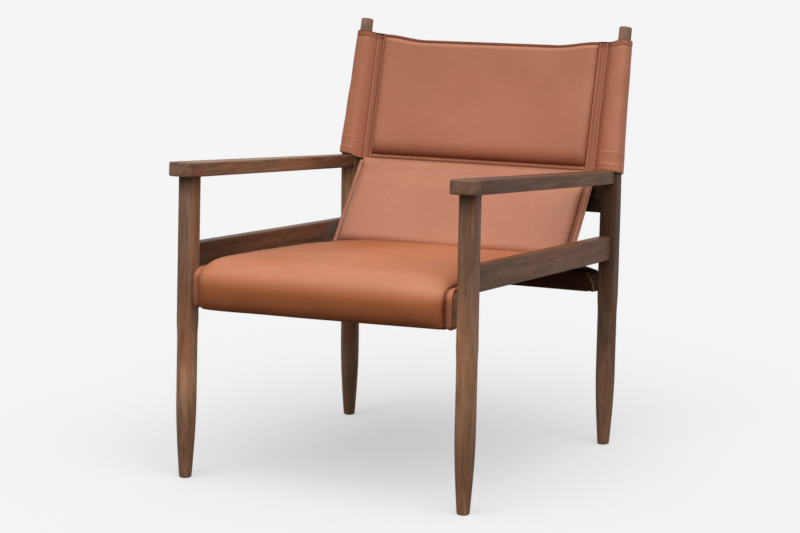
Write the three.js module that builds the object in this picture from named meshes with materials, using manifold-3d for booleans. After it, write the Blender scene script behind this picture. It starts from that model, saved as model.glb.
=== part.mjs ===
// Leather sling lounge chair: a turned wooden frame, a padded seat sling, a padded
// lower back and an upper back sling that slips over the rear posts.
// Millimetres, +Z up, the sitter faces -Y. The origin is on the floor, under the middle of the chair.
import * as THREE from 'three';
import { mergeVertices } from 'three/addons/utils/BufferGeometryUtils.js';
import Module from 'manifold-3d';

// Stance of the frame, axis to axis
const legX = 277;               // half the spacing of the legs across the chair
const legSpacingY = 632;        // front feet to rear feet
const frontLean = 11;           // how far the front leg leans back, floor to arm
const bendZ = 544;              // the rear post stands upright to here, then leans back
const postRake = 14.1;          // degrees, rear post above the bend
const postTopZ = 800;

// Leg and post sections
const legHalf = 15.75;          // half the square section
const calfRadius = 18.3;        // round stretch under the rails
const footRadius = 11.2;
const footEase = 1;             // chamfer round the foot
const taperHeight = 150;        // the foot's taper ends here
const roundTopZ = 262;          // round below, square above
const squareBottomZ = 300;
const neckRadius = 15.4;        // rear post, just above the bend
const tipRadius = 11.2;         // rear post, at its top
const tipEase = 1.5;
const squareness = 5;           // exponent of the rounded square
const ringSides = 24;

// Arms
const armUnderZ = 545.5;        // underside, over the front leg
const armDrop = 37.5;           // fall of the arm from front leg to rear post
const armThick = 23.5;
const armHalfFront = 25;
const armHalfRear = 15.5;
const armOverhang = 33;         // from the front leg's axis to the arm's nose
const armCorner = 13;           // nose corners, in plan
const armEase = 2.5;

// Rails
const sideRailZ = 402;          // mid height, at the front leg
const sideRailDrop = 19;        // fall from front leg to rear post
const sideRailHeight = 45;
const sideRailThick = 25;
const railEase = 3;
const frontRailBottomZ = 320;
const frontRailHeight = 66;
const frontRailThick = 24;
const frontRailRound = 14;      // top front edge, under the leather
const rearRailBottomZ = 297;
const rearRailHeight = 32;
const rearRailThick = 24;
const rearRailRound = 8;        // top edges, under the leather
const crossbarSink = 11.5;      // its top is this far below the arms' rear ends
const crossbarHeight = 70;
const crossbarThick = 22;
const crossbarRound = 8;        // top edges, under the leather

// Wood joints
const fit = 0.3;                // gap between faces that meet
const tenonThick = 10;
const tenonLength = 15;
const tenonShoulder = 8;        // the tenon is lower than its rail by this, above and below
const armDowelRadius = 6;
const armDowelInArm = 13;
const armDowelInLeg = 16;
const rearDowelRadius = 5;
const rearDowelInArm = 18;
const rearDowelInPost = 13;
const dowelSides = 24;
const glideRadius = 8.5;
const glideThick = 3;
const glideProud = 1;           // how far a foot glide stands below the wood

// Leather, canvas and foam
const skin = 2;                 // leather and canvas
const layerGap = 0.4;           // between layers, and to the wood
const hemThick = 4;             // two folded layers

// Upper back sling, measured along the raked posts from their bend
const sleeveTop = 238;
const sleeveHalfTop = 18.5;     // outside half width, across the chair
const sleeveHalfBottom = 25.2;
const sleeveDepthTop = 15.5;    // outside half depth
const sleeveDepthBottom = 23;
const sleeveSquareness = 2.8;
const seamReach = 48;           // from a post's axis to the padding's seam
const stripThick = 4.6;         // flat stretch between seam and sleeve
const backTop = 224.5;          // top edge at the middle
const backTopLift = 9;          // the top edge climbs this much to the seams
const backTopCurve = 90;        // within this much of the seams
const bindingHeight = 7;
const bindingThick = 5;
const bottomBindingHeight = 6;
const backCrown = 13;           // how far the padding swells in front
const backSwell = 4;            // and behind
const backEdge = 3;             // half thickness at the seams
const foamLeast = 1;            // thinnest edge of any foam

// Seat sling
const slingEndGap = 8.25;       // bare wood between the seat's leather and the legs
const hemWidth = 15;
const creaseY = 206;            // where the lower back meets the seat, from mid chair
const creaseZ = 366;            // carrier height there
const seatWrapUnder = 15;       // leather turned under the front rail
const seatFrontCrown = 10;      // foam in front of the front rail
const seatCrown = 23;           // foam at its thickest
const seatRearCrown = 7;        // foam at the crease
const tailTurn = 18;            // radius of the turns behind the crease

// Lower back sling
const lowerInset = 2;           // the lower back is narrower than the seat by this, each side
const lowerHemWidth = 16;
const lowerFootGap = 8;         // from the seat padding's rear end to the foot of the panel
const lowerSag = 2;             // how far the panel bows to the rear
const lowerCrown = 13;          // foam at its thickest
const lowerWrapDown = 36;       // leather turned down behind the crossbar

const wasm = await Module();
wasm.setup();

const rake = THREE.MathUtils.degToRad(postRake);
const rearFootY = legSpacingY / 2;
const frontFootY = -legSpacingY / 2;
const bendY = rearFootY;
const seamX = legX - seamReach;
const slingHalf = legX - legHalf - slingEndGap;
const lowerHalf = slingHalf - lowerInset;

// Plain helpers

function paint(color, roughness, metalness = 0) {
  return new THREE.MeshStandardMaterial({ color, roughness, metalness });
}

const wood = () => paint(0x5b4236, 0.5);
const beech = () => paint(0xc9a87a, 0.7);
const nylon = () => paint(0x2b2b2b, 0.6);
const leather = () => paint(0xb06a48, 0.5);
const darkLeather = () => paint(0x8a4c33, 0.55);
const canvas = () => paint(0x4a3a30, 0.9);
const foam = () => paint(0xe6ddc4, 0.95);

function blendBetween(a, b, t) {
  return a + (b - a) * t;
}

function ramp(value, from, to) {
  return THREE.MathUtils.smoothstep(value, from, to);
}

// Full in the middle, falling quickly to nothing at t = -1 and t = 1
function crown(t, sharpness) {
  return Math.sqrt(Math.max(0, 1 - Math.abs(t) ** sharpness));
}

// Turns a closed mesh right side out
function facingOut(geometry) {
  const p = geometry.attributes.position;
  const index = geometry.index.array;
  const a = new THREE.Vector3();
  const b = new THREE.Vector3();
  const c = new THREE.Vector3();
  let volume = 0;
  for (let i = 0; i < index.length; i += 3) {
    a.fromBufferAttribute(p, index[i]);
    b.fromBufferAttribute(p, index[i + 1]);
    c.fromBufferAttribute(p, index[i + 2]);
    volume += a.dot(b.cross(c));
  }
  if (volume < 0) {
    for (let i = 0; i < index.length; i += 3) {
      [index[i], index[i + 1]] = [index[i + 1], index[i]];
    }
  }
  geometry.computeVertexNormals();
  return geometry;
}

function meshOf(positions, index) {
  const geometry = new THREE.BufferGeometry();
  geometry.setAttribute('position', new THREE.Float32BufferAttribute(positions, 3));
  geometry.setIndex(index);
  return facingOut(geometry);
}

// A solid through a stack of rings that all have the same number of points
function loft(rings) {
  const sides = rings[0].length;
  const positions = rings.flat().flatMap((p) => [p.x, p.y, p.z]);
  const index = [];
  for (let r = 0; r < rings.length - 1; r += 1) {
    for (let i = 0; i < sides; i += 1) {
      const a = r * sides + i;
      const b = r * sides + ((i + 1) % sides);
      index.push(a, b, b + sides, a, b + sides, a + sides);
    }
  }
  [0, rings.length - 1].forEach((r) => {
    const middle = rings[r].reduce((sum, p) => sum.add(p), new THREE.Vector3()).divideScalar(sides);
    const centre = positions.length / 3;
    positions.push(middle.x, middle.y, middle.z);
    for (let i = 0; i < sides; i += 1) {
      const a = r * sides + i;
      const b = r * sides + ((i + 1) % sides);
      index.push(centre, ...(r === 0 ? [b, a] : [a, b]));
    }
  });
  return meshOf(positions, index);
}

// A closed sheet between two surfaces, each a function of two numbers
function sheet(across, along, upper, lower) {
  const positions = [];
  [upper, lower].forEach((surface) => {
    along.forEach((t) => across.forEach((s) => positions.push(...surface(s, t).toArray())));
  });
  const nu = across.length;
  const nv = along.length;
  const at = (side, i, j) => side * nu * nv + j * nu + i;
  const index = [];
  const quad = (a, b, c, d) => index.push(a, b, c, a, c, d);
  for (let j = 0; j < nv - 1; j += 1) {
    for (let i = 0; i < nu - 1; i += 1) {
      quad(at(0, i, j), at(0, i + 1, j), at(0, i + 1, j + 1), at(0, i, j + 1));
      quad(at(1, i, j), at(1, i, j + 1), at(1, i + 1, j + 1), at(1, i + 1, j));
    }
  }
  for (let i = 0; i < nu - 1; i += 1) {
    quad(at(0, i, 0), at(1, i, 0), at(1, i + 1, 0), at(0, i + 1, 0));
    quad(at(0, i, nv - 1), at(0, i + 1, nv - 1), at(1, i + 1, nv - 1), at(1, i, nv - 1));
  }
  for (let j = 0; j < nv - 1; j += 1) {
    quad(at(0, 0, j), at(0, 0, j + 1), at(1, 0, j + 1), at(1, 0, j));
    quad(at(0, nu - 1, j), at(1, nu - 1, j), at(1, nu - 1, j + 1), at(0, nu - 1, j + 1));
  }
  return meshOf(positions, index);
}

function steps(from, to, count) {
  return Array.from({ length: count + 1 }, (_, i) => blendBetween(from, to, i / count));
}

// Steps from -1 to 1 that close up towards both ends
function closingSteps(count) {
  return steps(-1, 1, count).map((t) => Math.sin((t * Math.PI) / 2));
}

// Joins and cuts

function solid(geometry) {
  const bare = geometry.clone();
  bare.deleteAttribute('normal');
  bare.deleteAttribute('uv');
  const merged = mergeVertices(bare, 1e-4);
  return new wasm.Manifold(new wasm.Mesh({
    numProp: 3,
    vertProperties: new Float32Array(merged.attributes.position.array),
    triVerts: new Uint32Array(merged.index.array),
  }));
}

function cut(geometry, ...tools) {
  return backToMesh(tools.reduce((body, tool) => body.subtract(solid(tool)), solid(geometry)));
}

function join(geometry, ...others) {
  return backToMesh(others.reduce((body, other) => body.add(solid(other)), solid(geometry)));
}

function backToMesh(manifold) {
  const mesh = manifold.getMesh();
  return meshOf(Array.from(mesh.vertProperties), Array.from(mesh.triVerts));
}

function mirrored(geometry) {
  const copy = geometry.clone().scale(-1, 1, 1);
  return facingOut(copy);
}

// Frame lines

function frontAxisY(z) {
  return frontFootY + (frontLean * z) / armUnderZ;
}

function rearAxisY(z) {
  return bendY + Math.max(0, z - bendZ) * Math.tan(rake);
}

const armRun = rearAxisY(armUnderZ) - frontAxisY(armUnderZ);
const armSlope = Math.atan(armDrop / armRun);
const sideRailSlope = Math.atan(sideRailDrop / (rearAxisY(sideRailZ) - frontAxisY(sideRailZ)));

function armUnderAt(y) {
  return armUnderZ - (y - frontAxisY(armUnderZ)) * Math.tan(armSlope);
}

function armTopAt(y) {
  return armUnderAt(y) + armThick / Math.cos(armSlope);
}

const crossbarTopZ = armTopAt(bendY) - crossbarSink;
const crossbarBottomZ = crossbarTopZ - crossbarHeight;

// A rounded section: exponent 2 is a circle, larger is squarer
function section(halfX, halfY, exponent, sides = ringSides) {
  return Array.from({ length: sides }, (_, i) => {
    const angle = (i * 2 * Math.PI) / sides;
    const c = Math.cos(angle);
    const s = Math.sin(angle);
    const reach = (Math.abs(c) ** exponent + Math.abs(s) ** exponent) ** (-1 / exponent);
    return new THREE.Vector2(halfX * reach * c, halfY * reach * s);
  });
}

// Half width and squareness of a leg at a height, foot to arm
function legSection(z) {
  const squared = ramp(z, roundTopZ, squareBottomZ);
  const swell = Math.sin((Math.PI / 2) * Math.min(1, z / taperHeight));
  const round = blendBetween(footRadius, calfRadius, swell);
  return { half: blendBetween(round, legHalf, squared), exponent: blendBetween(2, squareness, squared) };
}

const calfHeights = [0.12, 0.25, 0.4, 0.55, 0.75, 1].map((share) => share * taperHeight);
const squaringHeights = [0, 0.33, 0.67, 1].map((share) => blendBetween(roundTopZ, squareBottomZ, share));

// Level rings of a leg from the foot to the square stretch, grown by a clearance
function lowerLegRings(axisY, grow) {
  const ring = (z, half, exponent) => section(half + grow, half + grow, exponent)
    .map((p) => new THREE.Vector3(p.x, axisY(z) + p.y, z));
  const rings = [ring(glideProud, footRadius - footEase, 2), ring(glideProud + footEase, footRadius, 2)];
  [...calfHeights, ...squaringHeights].forEach((z) => {
    const { half, exponent } = legSection(z);
    rings.push(ring(z, half, exponent));
  });
  return rings;
}

function frontLegShape(grow = 0) {
  const rings = lowerLegRings(frontAxisY, grow);
  const top = section(legHalf + grow, legHalf + grow, squareness).map((p) => {
    const y = frontAxisY(armUnderZ) + p.y;
    return new THREE.Vector3(p.x, y, armUnderAt(y) - fit);
  });
  return loft([...rings, top]);
}

// The post above its bend follows the raked axis
function rearPostShape(grow = 0) {
  const rings = lowerLegRings(rearAxisY, grow);
  const armTop = armTopAt(bendY);
  rings.push(section(legHalf + grow, legHalf + grow, squareness)
    .map((p) => new THREE.Vector3(p.x, rearAxisY(armTop) + p.y, armTop - armThick / 4)));
  const raked = (along, radius, exponent, tilt) => section(radius + grow, radius + grow, exponent)
    .map((p) => new THREE.Vector3(
      p.x,
      bendY + along * Math.sin(rake) + p.y * Math.cos(tilt),
      bendZ + along * Math.cos(rake) - p.y * Math.sin(tilt),
    ));
  const length = (postTopZ - bendZ) / Math.cos(rake);
  rings.push(raked(0, neckRadius, 2, rake / 2));
  [0.12, 0.5].forEach((share) => {
    rings.push(raked(share * length, blendBetween(neckRadius, tipRadius, share), 2, rake));
  });
  rings.push(raked(length - tipEase, tipRadius, 2, rake));
  rings.push(raked(length, tipRadius - tipEase, 2, rake));
  return loft(rings);
}

// A bar with eased edges, run along Z: the top front edge may be rounder than the others
function bar(width, height, length, roundFront, roundRear = railEase) {
  const w = width / 2;
  const h = height / 2;
  const shape = new THREE.Shape();
  shape.moveTo(-w + railEase, -h);
  shape.lineTo(w - railEase, -h);
  shape.absarc(w - railEase, -h + railEase, railEase, -Math.PI / 2, 0);
  shape.lineTo(w, h - roundRear);
  shape.absarc(w - roundRear, h - roundRear, roundRear, 0, Math.PI / 2);
  shape.lineTo(-w + roundFront, h);
  shape.absarc(-w + roundFront, h - roundFront, roundFront, Math.PI / 2, Math.PI);
  shape.lineTo(-w, -h + railEase);
  shape.absarc(-w + railEase, -h + railEase, railEase, Math.PI, 1.5 * Math.PI);
  const run = new THREE.ExtrudeGeometry(shape, { depth: length, bevelEnabled: false, curveSegments: 4 });
  return run.translate(0, 0, -length / 2);
}

function box(x, y, z) {
  return new THREE.BoxGeometry(x, y, z);
}

function dowel(radius, length) {
  return new THREE.CylinderGeometry(radius, radius, length, dowelSides).rotateX(Math.PI / 2);
}

// Side rails: level in X, falling to the rear

const railFrontY = frontAxisY(sideRailZ);
const railRearY = rearAxisY(sideRailZ);
const railMidY = (railFrontY + railRearY) / 2;
const railMidZ = sideRailZ - sideRailDrop / 2;
const railRun = (railRearY - railFrontY) / Math.cos(sideRailSlope);
const sideTenonHeight = sideRailHeight - 2 * tenonShoulder;
const sideTenonRun = railRun - 2 * (legHalf - tenonLength);

function placeRail(geometry) {
  return geometry.rotateX(-sideRailSlope).translate(0, railMidY, railMidZ);
}

function sideRailTenon(clearance) {
  const length = sideTenonRun + 2 * clearance;
  return placeRail(box(tenonThick + 2 * clearance, length, sideTenonHeight + 2 * clearance));
}

function sideRailShape() {
  const body = bar(sideRailThick, sideRailHeight, railRun, railEase).rotateX(-Math.PI / 2);
  const between = cut(placeRail(body.rotateY(Math.PI)), frontLegShape(fit), rearPostShape(fit));
  return join(between, sideRailTenon(0));
}

// Rails across the chair, with a tenon in each leg

function crossRail(axisY, bottom, height, thick, rounds, legShape) {
  const midZ = bottom + height / 2;
  const y = axisY(midZ);
  const body = bar(thick, height, 2 * legX, ...rounds).rotateX(Math.PI / 2).rotateZ(Math.PI / 2);
  const ends = [-legX, legX].map((x) => legShape(fit).translate(x, 0, 0));
  const tenon = crossTenon(axisY, bottom, height, 0);
  return join(cut(body.translate(0, y, midZ), ...ends), tenon);
}

function crossTenon(axisY, bottom, height, clearance) {
  const midZ = bottom + height / 2;
  const run = 2 * (legX - legHalf + tenonLength + clearance);
  const tall = height - 2 * tenonShoulder + 2 * clearance;
  return box(run, tenonThick + 2 * clearance, tall).translate(0, axisY(midZ), midZ);
}

// Arms

const armLength = armRun / Math.cos(armSlope);

function armOutline() {
  const nose = -armOverhang;
  const tail = armLength - legHalf + armEase;
  const shape = new THREE.Shape();
  shape.moveTo(-armHalfRear, tail);
  shape.lineTo(-armHalfFront, nose + armCorner);
  shape.absarc(-armHalfFront + armCorner, nose + armCorner, armCorner, Math.PI, 1.5 * Math.PI);
  shape.lineTo(armHalfFront - armCorner, nose);
  shape.absarc(armHalfFront - armCorner, nose + armCorner, armCorner, 1.5 * Math.PI, 2 * Math.PI);
  shape.lineTo(armHalfRear, tail);
  shape.closePath();
  return shape;
}

function placeArm(geometry) {
  return geometry.rotateX(-armSlope).translate(0, frontAxisY(armUnderZ), armUnderZ);
}

function armFrontDowel(clearance) {
  const length = armDowelInArm + armDowelInLeg + 2 * clearance;
  const y = frontAxisY(armUnderZ);
  const middle = armUnderZ + (armDowelInArm - armDowelInLeg) / 2;
  return dowel(armDowelRadius + clearance, length).translate(0, y, middle);
}

// From the post's front face, along the arm
function armRearDowel(clearance) {
  const length = rearDowelInArm + rearDowelInPost + 2 * clearance;
  const middle = armLength - legHalf + (rearDowelInPost - rearDowelInArm) / 2;
  const peg = dowel(rearDowelRadius + clearance, length).rotateX(Math.PI / 2);
  return placeArm(peg.translate(0, middle, armThick / 2));
}

function armShape() {
  const slab = new THREE.ExtrudeGeometry(armOutline(), {
    depth: armThick - 2 * armEase,
    bevelThickness: armEase,
    bevelSize: armEase,
    bevelOffset: -armEase,
    bevelSegments: 2,
    curveSegments: 5,
  });
  const placed = placeArm(slab.translate(0, 0, armEase));
  return cut(placed, rearPostShape(fit), armFrontDowel(fit), armRearDowel(fit));
}

// Foot glides sit in a recess under each foot
function glide(clearance) {
  const thick = glideThick + clearance;
  return dowel(glideRadius + clearance, thick).translate(0, 0, thick / 2);
}

function frontLeg(side) {
  const frontTenon = crossTenon(frontAxisY, frontRailBottomZ, frontRailHeight, fit);
  frontTenon.translate(-side * legX, 0, 0);
  const recess = glide(fit).translate(0, frontFootY, 0);
  return cut(frontLegShape(), sideRailTenon(fit), frontTenon, armFrontDowel(fit), recess);
}

function rearPost(side) {
  const rearTenon = crossTenon(rearAxisY, rearRailBottomZ, rearRailHeight, fit);
  const barTenon = crossTenon(rearAxisY, crossbarBottomZ, crossbarHeight, fit);
  rearTenon.translate(-side * legX, 0, 0);
  barTenon.translate(-side * legX, 0, 0);
  const recess = glide(fit).translate(0, rearFootY, 0);
  return cut(rearPostShape(), sideRailTenon(fit), rearTenon, barTenon, armRearDowel(fit), recess);
}

// Upper back sling, in a frame that is turned with the raked posts: y runs back, z up the posts

const sleeveBottom = (() => {
  const front = legHalf - armEase;
  let along = 0;
  for (let pass = 0; pass < 6; pass += 1) {
    const y = bendY + along * Math.sin(rake) - front * Math.cos(rake);
    along = (armTopAt(y) + fit - bendZ - front * Math.sin(rake)) / Math.cos(rake);
  }
  return along;
})();

function sleeveTube(inset) {
  const ring = (along) => {
    const share = (along - sleeveBottom) / (sleeveTop - sleeveBottom);
    const halfX = blendBetween(sleeveHalfBottom, sleeveHalfTop, share) - inset;
    const halfY = blendBetween(sleeveDepthBottom, sleeveDepthTop, share) - inset;
    return section(halfX, halfY, sleeveSquareness).map((p) => new THREE.Vector3(legX + p.x, p.y, along));
  };
  const past = inset > 0 ? inset : 0;
  return loft(steps(sleeveBottom - past, sleeveTop + past, 4).map(ring));
}

function sleeveShape() {
  const inner = seamX + layerGap;
  const outer = legX - sleeveHalfTop + skin;
  const tall = sleeveTop - sleeveBottom;
  const strip = box(outer - inner, stripThick, tall)
    .translate((inner + outer) / 2, 0, (sleeveTop + sleeveBottom) / 2);
  return cut(join(sleeveTube(0), strip), sleeveTube(skin));
}

// Top edge of the padded panel: level in the middle, climbing to the seams
function backTopAt(x) {
  return backTop + backTopLift * ramp(Math.abs(x), seamX - backTopCurve, seamX);
}

const bindingBase = sleeveBottom + bottomBindingHeight + layerGap;

const padColumns = closingSteps(14);
const padRows = closingSteps(9);

// A point of the padded panel at a depth: -1 front face, 1 rear face, less an inset
function padPoint(s, t, face, inset) {
  const x = s * seamX;
  const top = backTopAt(x) - bindingHeight - layerGap;
  const z = blendBetween(bindingBase, top, (t + 1) / 2);
  const full = crown(s, 8) * crown(t, 6);
  const thick = backEdge + (face < 0 ? backCrown : backSwell) * full;
  return new THREE.Vector3(x, face * (thick - inset), z);
}

function padLayer(upperFace, upperInset, lowerFace, lowerInset) {
  return sheet(
    padColumns,
    padRows,
    (s, t) => padPoint(s, t, upperFace, upperInset),
    (s, t) => padPoint(s, t, lowerFace, lowerInset),
  );
}

function binding(bottomAt, topAt) {
  const half = bindingThick / 2;
  const columns = padColumns.map((s) => s * seamX);
  const face = (y) => (x, t) => new THREE.Vector3(x, y, blendBetween(bottomAt(x), topAt(x), t));
  return sheet(columns, [0, 1], face(-half), face(half));
}

// Seat sling: layers laid on one carrier line that runs over the rails from front to rear

const frontRailY = frontAxisY(frontRailBottomZ + frontRailHeight / 2) - frontRailThick / 2;
const frontRailTopZ = frontRailBottomZ + frontRailHeight;
const rearRailY = rearAxisY(rearRailBottomZ + rearRailHeight / 2) - rearRailThick / 2;
const off = layerGap;

function seatCarrier() {
  const turn = railEase + off;
  const round = frontRailRound + off;
  const path = new THREE.Path();
  path.moveTo(frontRailY + railEase + seatWrapUnder, frontRailBottomZ - off);
  path.lineTo(frontRailY + railEase, frontRailBottomZ - off);
  path.absarc(frontRailY + railEase, frontRailBottomZ + railEase, turn, -Math.PI / 2, -Math.PI, true);
  path.lineTo(frontRailY - off, frontRailTopZ - frontRailRound);
  const dip = Math.atan2(frontRailTopZ + off - creaseZ, creaseY - frontRailY - frontRailRound);
  const roundY = frontRailY + frontRailRound;
  path.absarc(roundY, frontRailTopZ - frontRailRound, round, Math.PI, Math.PI / 2 - dip, true);
  path.lineTo(creaseY - tailTurn, creaseZ + tailTurn * Math.tan(dip));
  const rearTop = rearRailBottomZ + rearRailHeight - rearRailRound;
  const rearFrontY = rearRailY + rearRailRound;
  const rearBackY = rearRailY + rearRailThick - rearRailRound;
  const rearRound = rearRailRound + off;
  const fall = Math.atan2(creaseZ - rearTop - rearRound, rearFrontY - creaseY);
  const landY = rearFrontY + rearRound * Math.sin(fall);
  const landZ = rearTop + rearRound * Math.cos(fall);
  const aim = new THREE.Vector2(landY - creaseY, landZ - creaseZ).setLength(tailTurn);
  path.quadraticCurveTo(creaseY, creaseZ, creaseY + aim.x, creaseZ + aim.y);
  path.lineTo(landY, landZ);
  path.absarc(rearFrontY, rearTop, rearRound, Math.PI / 2 - fall, Math.PI / 2, false);
  path.lineTo(rearBackY, rearTop + rearRound);
  path.absarc(rearBackY, rearTop, rearRound, Math.PI / 2, 0, true);
  const rearFoot = rearRailBottomZ + railEase;
  path.lineTo(rearRailY + rearRailThick + off, rearFoot);
  path.absarc(rearRailY + rearRailThick - railEase, rearFoot, turn, 0, -Math.PI / 2, true);
  path.lineTo(rearRailY + railEase, rearRailBottomZ - off);
  path.absarc(rearRailY + railEase, rearFoot, turn, -Math.PI / 2, -Math.PI, true);
  path.lineTo(rearRailY - off, rearTop - rearRailRound);
  return path;
}

const seatPath = seatCarrier();
const seatLength = seatPath.getLength();

// How far along the seat's carrier line a share of its straight top lies
function pathSpot(path, length, test) {
  const fine = 2000;
  for (let i = 0; i <= fine; i += 1) {
    if (test(path.getPointAt(i / fine))) return (i / fine) * length;
  }
  return length;
}

const seatFrontBottom = pathSpot(seatPath, seatLength, (p) => p.y > frontRailBottomZ + railEase);
const seatTopFront = pathSpot(
  seatPath,
  seatLength,
  (p) => p.x > frontRailY + frontRailRound && p.y > frontRailTopZ - frontRailRound,
);
const seatFrontTop = pathSpot(
  seatPath,
  seatLength,
  (p) => p.x < frontRailY && p.y > frontRailTopZ - frontRailRound,
);
const seatCrease = pathSpot(seatPath, seatLength, (p) => p.x > creaseY - tailTurn);

const seatRearTop = pathSpot(seatPath, seatLength, (p) => p.x > rearRailY + rearRailRound);

// A point beside a carrier line, moved along its outward normal
function liftedPoint(path, length, x, along, lift) {
  const share = THREE.MathUtils.clamp(along / length, 0, 1);
  const p = path.getPointAt(share);
  const t = path.getTangentAt(share);
  return new THREE.Vector3(x, p.x - t.y * lift, p.y + t.x * lift);
}

function seatFoamAt(s, along) {
  const rise = ramp(along, seatFrontBottom, seatTopFront);
  const body = ramp(along, seatTopFront - frontRailRound, seatTopFront + seatCrown * 6);
  const fall = ramp(along, seatTopFront + seatCrown * 8, seatCrease);
  const front = seatFrontCrown * crown(1 - 2 * rise, 4);
  const top = blendBetween(seatFrontCrown, blendBetween(seatCrown, seatRearCrown, fall), body);
  const height = along < seatTopFront ? Math.max(front, top * ramp(rise, 0.5, 1)) : top;
  return foamLeast + height * crown(s, 8);
}

const seatColumns = closingSteps(14);
const seatRows = [
  0,
  ...steps(seatWrapUnder, seatFrontBottom, 4),
  ...steps(seatFrontBottom, seatFrontTop, 4).slice(1),
  ...steps(seatFrontTop, seatTopFront, 5).slice(1),
  ...steps(seatTopFront, seatCrease, 8).slice(1),
];
const foamRows = seatRows.filter((along) => along >= seatFrontBottom);
const tailRows = [
  ...steps(seatCrease, seatCrease + 2 * tailTurn, 4).slice(1),
  ...steps(seatRearTop, seatLength, 30),
];
const carrierRows = [...seatRows.filter((along) => along >= seatTopFront), ...tailRows];
const seatPadHalf = slingHalf - hemWidth - layerGap;

function seatPoint(s, along, lift) {
  return liftedPoint(seatPath, seatLength, s * seatPadHalf, along, lift);
}

// Canvas under the foam, from the front rail's top to the rear rail
function seatCanvasShape() {
  const columns = [-1, 0, 1];
  return sheet(columns, carrierRows, (s, a) => seatPoint(s, a, skin), (s, a) => seatPoint(s, a, 0));
}

function canvasUnder(along) {
  return along >= seatTopFront ? skin + layerGap : layerGap;
}

function seatFoamShape() {
  return sheet(
    seatColumns,
    foamRows,
    (s, a) => seatPoint(s, a, skin + layerGap + seatFoamAt(s, a)),
    (s, a) => seatPoint(s, a, canvasUnder(a)),
  );
}

function seatLeatherShape() {
  const under = (s, a) => skin + 2 * layerGap + (a < seatFrontBottom ? foamLeast : seatFoamAt(s, a));
  const base = (s, a) => (a < seatFrontBottom ? under(s, a) * ramp(a, 0, seatFrontBottom) : under(s, a));
  return sheet(
    seatColumns,
    seatRows,
    (s, a) => seatPoint(s, a, base(s, a) + skin),
    (s, a) => seatPoint(s, a, base(s, a)),
  );
}

// Flat hems at the ends of the seat, folded leather on the rails
function seatHem(side) {
  const rows = [...seatRows, ...tailRows];
  const across = (s) => side * (slingHalf - s * hemWidth);
  const place = (lift) => (s, a) => liftedPoint(seatPath, seatLength, across(s), a, lift);
  return sheet([0, 1], rows, place(hemThick), place(0));
}

// Lower back sling: from the crease up to the crossbar and over it

const crossbarY = rearAxisY(crossbarBottomZ + crossbarHeight / 2) - crossbarThick / 2;

// The foot of the panel stands on the seat's hems
const lowerFoot = (() => {
  const spot = liftedPoint(seatPath, seatLength, 0, seatCrease + lowerFootGap, hemThick + layerGap);
  return new THREE.Vector2(spot.y, spot.z);
})();

function lowerCarrier() {
  const round = crossbarRound + off;
  const frontTop = new THREE.Vector2(crossbarY + crossbarRound, crossbarTopZ - crossbarRound);
  const start = lowerFoot.clone();
  const reach = frontTop.clone().sub(start);
  const lean = Math.atan2(reach.y, reach.x) + lowerSag / reach.length();
  const outwards = new THREE.Vector2(-Math.sin(lean), Math.cos(lean));
  const meet = frontTop.clone().addScaledVector(outwards, round);
  const half = start.clone().add(meet).multiplyScalar(0.5);
  const bow = half.addScaledVector(outwards, -lowerSag);
  const path = new THREE.Path();
  path.moveTo(start.x, start.y);
  path.quadraticCurveTo(bow.x, bow.y, meet.x, meet.y);
  path.absarc(frontTop.x, frontTop.y, round, Math.PI / 2 + lean, Math.PI / 2, true);
  const backTopY = crossbarY + crossbarThick - crossbarRound;
  path.lineTo(backTopY, crossbarTopZ + off);
  path.absarc(backTopY, crossbarTopZ - crossbarRound, round, Math.PI / 2, 0, true);
  path.lineTo(crossbarY + crossbarThick + off, crossbarTopZ - crossbarRound - lowerWrapDown);
  return path;
}

const lowerPath = lowerCarrier();
const lowerLength = lowerPath.getLength();
const lowerPanelEnd = pathSpot(lowerPath, lowerLength, (p) => p.x > crossbarY - off);
const lowerPadHalf = lowerHalf - lowerHemWidth - layerGap;
const lowerColumns = closingSteps(14);
const lowerPanelRows = closingSteps(8).map((t) => (lowerPanelEnd * (t + 1)) / 2);
const lowerWrapRows = steps(lowerPanelEnd, lowerLength, 14).slice(1);

function lowerPoint(s, along, lift) {
  return liftedPoint(lowerPath, lowerLength, s * lowerPadHalf, along, lift);
}

function lowerFoamAt(s, along) {
  return foamLeast + lowerCrown * crown(s, 8) * crown((2 * along) / lowerPanelEnd - 1, 8);
}

function lowerLeatherShape() {
  const base = (s, a) => skin + 2 * layerGap + (a > lowerPanelEnd ? foamLeast : lowerFoamAt(s, a));
  return sheet(
    lowerColumns,
    [...lowerPanelRows, ...lowerWrapRows],
    (s, a) => lowerPoint(s, a, base(s, a) + skin),
    (s, a) => lowerPoint(s, a, base(s, a)),
  );
}

function lowerFoamShape() {
  return sheet(
    lowerColumns,
    lowerPanelRows,
    (s, a) => lowerPoint(s, a, skin + layerGap + lowerFoamAt(s, a)),
    (s, a) => lowerPoint(s, a, skin + layerGap),
  );
}

function lowerBackingShape() {
  const rows = [...lowerPanelRows, ...lowerWrapRows];
  return sheet([-1, 0, 1], rows, (s, a) => lowerPoint(s, a, skin), (s, a) => lowerPoint(s, a, 0));
}

function lowerHem(side) {
  const rows = [...lowerPanelRows, ...lowerWrapRows];
  const across = (s) => side * (lowerHalf - s * lowerHemWidth);
  const place = (lift) => (s, a) => liftedPoint(lowerPath, lowerLength, across(s), a, lift);
  return sheet([0, 1], rows, place(hemThick), place(0));
}

// The assembly

const chair = new THREE.Group();

function add(parent, name, geometry, material) {
  const mesh = new THREE.Mesh(geometry, material);
  mesh.name = name;
  parent.add(mesh);
  return mesh;
}

function addPair(parent, name, right, material) {
  add(parent, `${name}_right`, right, material());
  add(parent, `${name}_left`, mirrored(right), material());
}

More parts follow.
